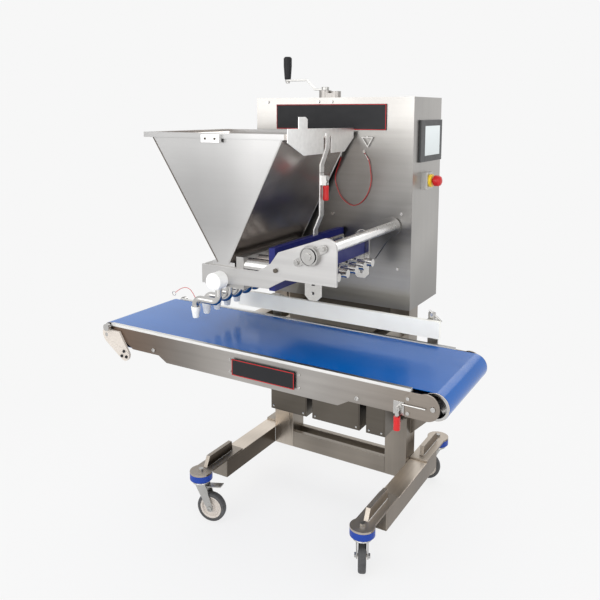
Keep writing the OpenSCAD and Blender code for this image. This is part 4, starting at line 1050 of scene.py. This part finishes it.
class DEPOSITOR_OT_head(Operator):
    """Dresses the depositor head: plates, tube, rocker, cylinders, pistons, valve and spouts"""

    bl_idname = "depositor.head"
    bl_label = "Depositor head"

    FAR_PLATE_Y, BAIL_X, KNOB_Y = 120, 180, -164
    BEARING, STUD = (229, 0, 1226), (86, 0, 1157)
    SEAL_IN, SEAL_OUT, INSERT_R, STUD_R = 0.0268, 0.0312, 0.0266, 0.014
    PIN_X, PIN_Z = 206, 1165
    WIRE = [(-307, 984), (-316, 996), (-324, 1008), (-335, 1020), (-348, 1026), (-363, 1027), (-377, 1023),
            (-389, 1017), (-400, 1010), (-408, 1004), (-414, 1000)]
    WIRE_Y, WIRE_R = -125, 0.0012
    LOOP, LOOP_R, LOOP_WIRE, PITCH = (-421, 995), 0.0085, 0.0009, 0.12

    def execute(self, context):
        sizes = context.scene.depositor_sizes
        # The far side plate takes the cabinet's darker steel as painted shade.
        plates = dress("side_plates", "blasted_plate", sizes.block_edge, 2, "cabinet_sheet")
        paint(plates, 1, lambda c: c.y > at(0, self.FAR_PLATE_Y, 0).y)
        tie = dress("tie_bars", "tube_steel", sizes.sheet_edge, 2, "bright_steel")
        paint(tie, 1, lambda c: c.x < at(self.BAIL_X, 0, 0).x)
        bearing = dress("flange_bearing", "cast_steel", sizes.sheet_edge, 2, "black_plastic", "bright_steel",
                        "box_sheet")
        axis, stud = at(*self.BEARING), at(*self.STUD)
        paint(bearing, 1, lambda c: self.SEAL_IN < from_axis(c, axis) < self.SEAL_OUT)
        paint(bearing, 2, lambda c: from_axis(c, axis) < self.INSERT_R)
        paint(bearing, 3, lambda c: from_axis(c, stud) < self.STUD_R)
        dress("rocker", "bright_steel", sizes.sheet_edge)
        dress("cylinder_plate", "navy_plastic", sizes.block_edge)
        dress("product_cylinders", "bright_steel", sizes.sheet_edge)
        dress("air_cylinders", "zinc_steel", sizes.sheet_edge)
        drive = dress("drive_plate", "navy_plastic", sizes.block_edge, 2, "bright_steel")
        pin = at(self.PIN_X, 0, self.PIN_Z)
        paint(drive, 1, lambda c: c.z < pin.z or c.x < pin.x)
        dress("pistons", "bright_steel", sizes.sheet_edge)
        dress("valve_body", "valve_steel", sizes.block_edge)
        spool = dress("valve_spool", "bright_steel", sizes.block_edge, 3, "white_plastic")
        front = at(0, self.KNOB_Y, 0).y
        paint(spool, 1, lambda c: c.y < front)
        dress("spouts", "bright_steel", 0)
        dress("nozzle_tips", "white_plastic", sizes.sheet_edge * 0.5)
        self.pull_wire()
        return {"FINISHED"}

    def pull_wire(self):
        """A stiff wire with a split ring, standing on the bend of the front spout."""
        pull = rod("pull_wire", [at(x, self.WIRE_Y, z) for x, z in self.WIRE], self.WIRE_R)
        added(pull, NODES["spouts"]["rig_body"], "red_cord")
        middle = at(self.LOOP[0], self.WIRE_Y, self.LOOP[1])
        turns = [middle + Vector((math.cos(a), self.PITCH * math.sin(a / 2), math.sin(a))) * self.LOOP_R
                 for a in (math.radians(15 * step) for step in range(48))]
        ring = rod("pull_ring", turns, self.LOOP_WIRE)
        added(ring, NODES["spouts"]["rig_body"], "bright_steel")


class DEPOSITOR_OT_hopper(Operator):
    """Dresses the hopper with its rim, guard plate and hold-down strap"""

    bl_idname = "depositor.hopper"
    bl_label = "Hopper"

    SEAMS = ((-180, -492), (-130, 108))
    SEAM_Y, SEAM_FOOT, SEAM_TOP, SEAM_R = (-149, 363), 1155, 1624, 0.003
    CLIP_X, CLIP_Y, CLIP_Z = (-214, -170), -172, 1614
    GRIP = [(0.0085, -0.0008), (0.0112, 0.0008), (0.0122, 0.006), (0.0114, 0.02), (0.0108, 0.034),
            (0.0118, 0.048), (0.0122, 0.053), (0.0108, 0.0566), (0.0085, 0.0572)]
    GRIP_X, GRIP_Y = 113, 150

    def execute(self, context):
        sizes = context.scene.depositor_sizes
        # The hopper's front gets its painted reflection, the side faces the copy with theirs.
        paint_sides(dress("hopper_shell", "hopper_sheet", sizes.sheet_edge, 2, "hopper_side"), 1, least=0.6)
        seams = [rod("hopper_seam", [at(foot, y, self.SEAM_FOOT), at(top, y, self.SEAM_TOP)], self.SEAM_R, 2)
                 for foot, top in self.SEAMS for y in self.SEAM_Y]
        # The seams carry painted shade on the left.
        added(joined("hopper_seams", seams), "hopper", "seam_steel")
        # The clip's screws take the dark box steel as painted shade, so they read as dark holes.
        places = [at(x, self.CLIP_Y, self.CLIP_Z) for x in self.CLIP_X]
        screws("clip_screws", places, (0, -1, 0), sizes.screw, "hopper", "box_sheet")
        # The guard plate and strap get the painted highlight.
        dress("guard_plate", "guard_sheet", sizes.sheet_edge)
        dress("strap_lower", "guard_sheet", sizes.sheet_edge)
        dress("strap_handle", "bright_steel", sizes.sheet_edge, 3)
        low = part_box("strap_handle")[0]
        sleeve = turned("strap_grip", self.GRIP, 32, True)
        place = at(self.GRIP_X, self.GRIP_Y, 0)
        settle(sleeve, Matrix.Translation((place.x, place.y, low.z)))
        added(sleeve, NODES["strap_handle"]["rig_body"], "red_plastic")
        return {"FINISHED"}


OPERATORS = (DEPOSITOR_OT_stage, DEPOSITOR_OT_lanyard, DEPOSITOR_OT_stand, DEPOSITOR_OT_wheels,
             DEPOSITOR_OT_conveyor, DEPOSITOR_OT_guide, DEPOSITOR_OT_boxes, DEPOSITOR_OT_cabinet,
             DEPOSITOR_OT_head, DEPOSITOR_OT_hopper)


class DEPOSITOR_PT_panel(Panel):
    """Lists the pieces and their values"""

    bl_idname = "DEPOSITOR_PT_panel"
    bl_label = "Food Depositor"
    bl_space_type = "VIEW_3D"
    bl_region_type = "UI"
    bl_category = "Depositor"

    def draw(self, context):
        for operator in OPERATORS:
            self.layout.operator(operator.bl_idname)
        scene = context.scene
        for group in (scene.depositor_colours, scene.depositor_sizes, scene.depositor_view):
            column = self.layout.column()
            for name in group.__annotations__:
                column.prop(group, name)


CLASSES = (DepositorColours, DepositorSizes, DepositorView, *OPERATORS, DEPOSITOR_PT_panel)


def register():
    for item in CLASSES:
        bpy.utils.register_class(item)
    bpy.types.Scene.depositor_colours = PointerProperty(type=DepositorColours)
    bpy.types.Scene.depositor_sizes = PointerProperty(type=DepositorSizes)
    bpy.types.Scene.depositor_view = PointerProperty(type=DepositorView)


def unregister():
    del bpy.types.Scene.depositor_view
    del bpy.types.Scene.depositor_sizes
    del bpy.types.Scene.depositor_colours
    for item in reversed(CLASSES):
        bpy.utils.unregister_class(item)


def main():
    register()
    make_finishes(bpy.context.scene.depositor_colours)
    bpy.ops.depositor.stage()
    bpy.ops.depositor.lanyard()
    bpy.ops.depositor.stand()
    bpy.ops.depositor.wheels()
    bpy.ops.depositor.conveyor()
    bpy.ops.depositor.guide()
    bpy.ops.depositor.boxes()
    bpy.ops.depositor.cabinet()
    bpy.ops.depositor.head()
    bpy.ops.depositor.hopper()


if __name__ == "__main__":
    main()
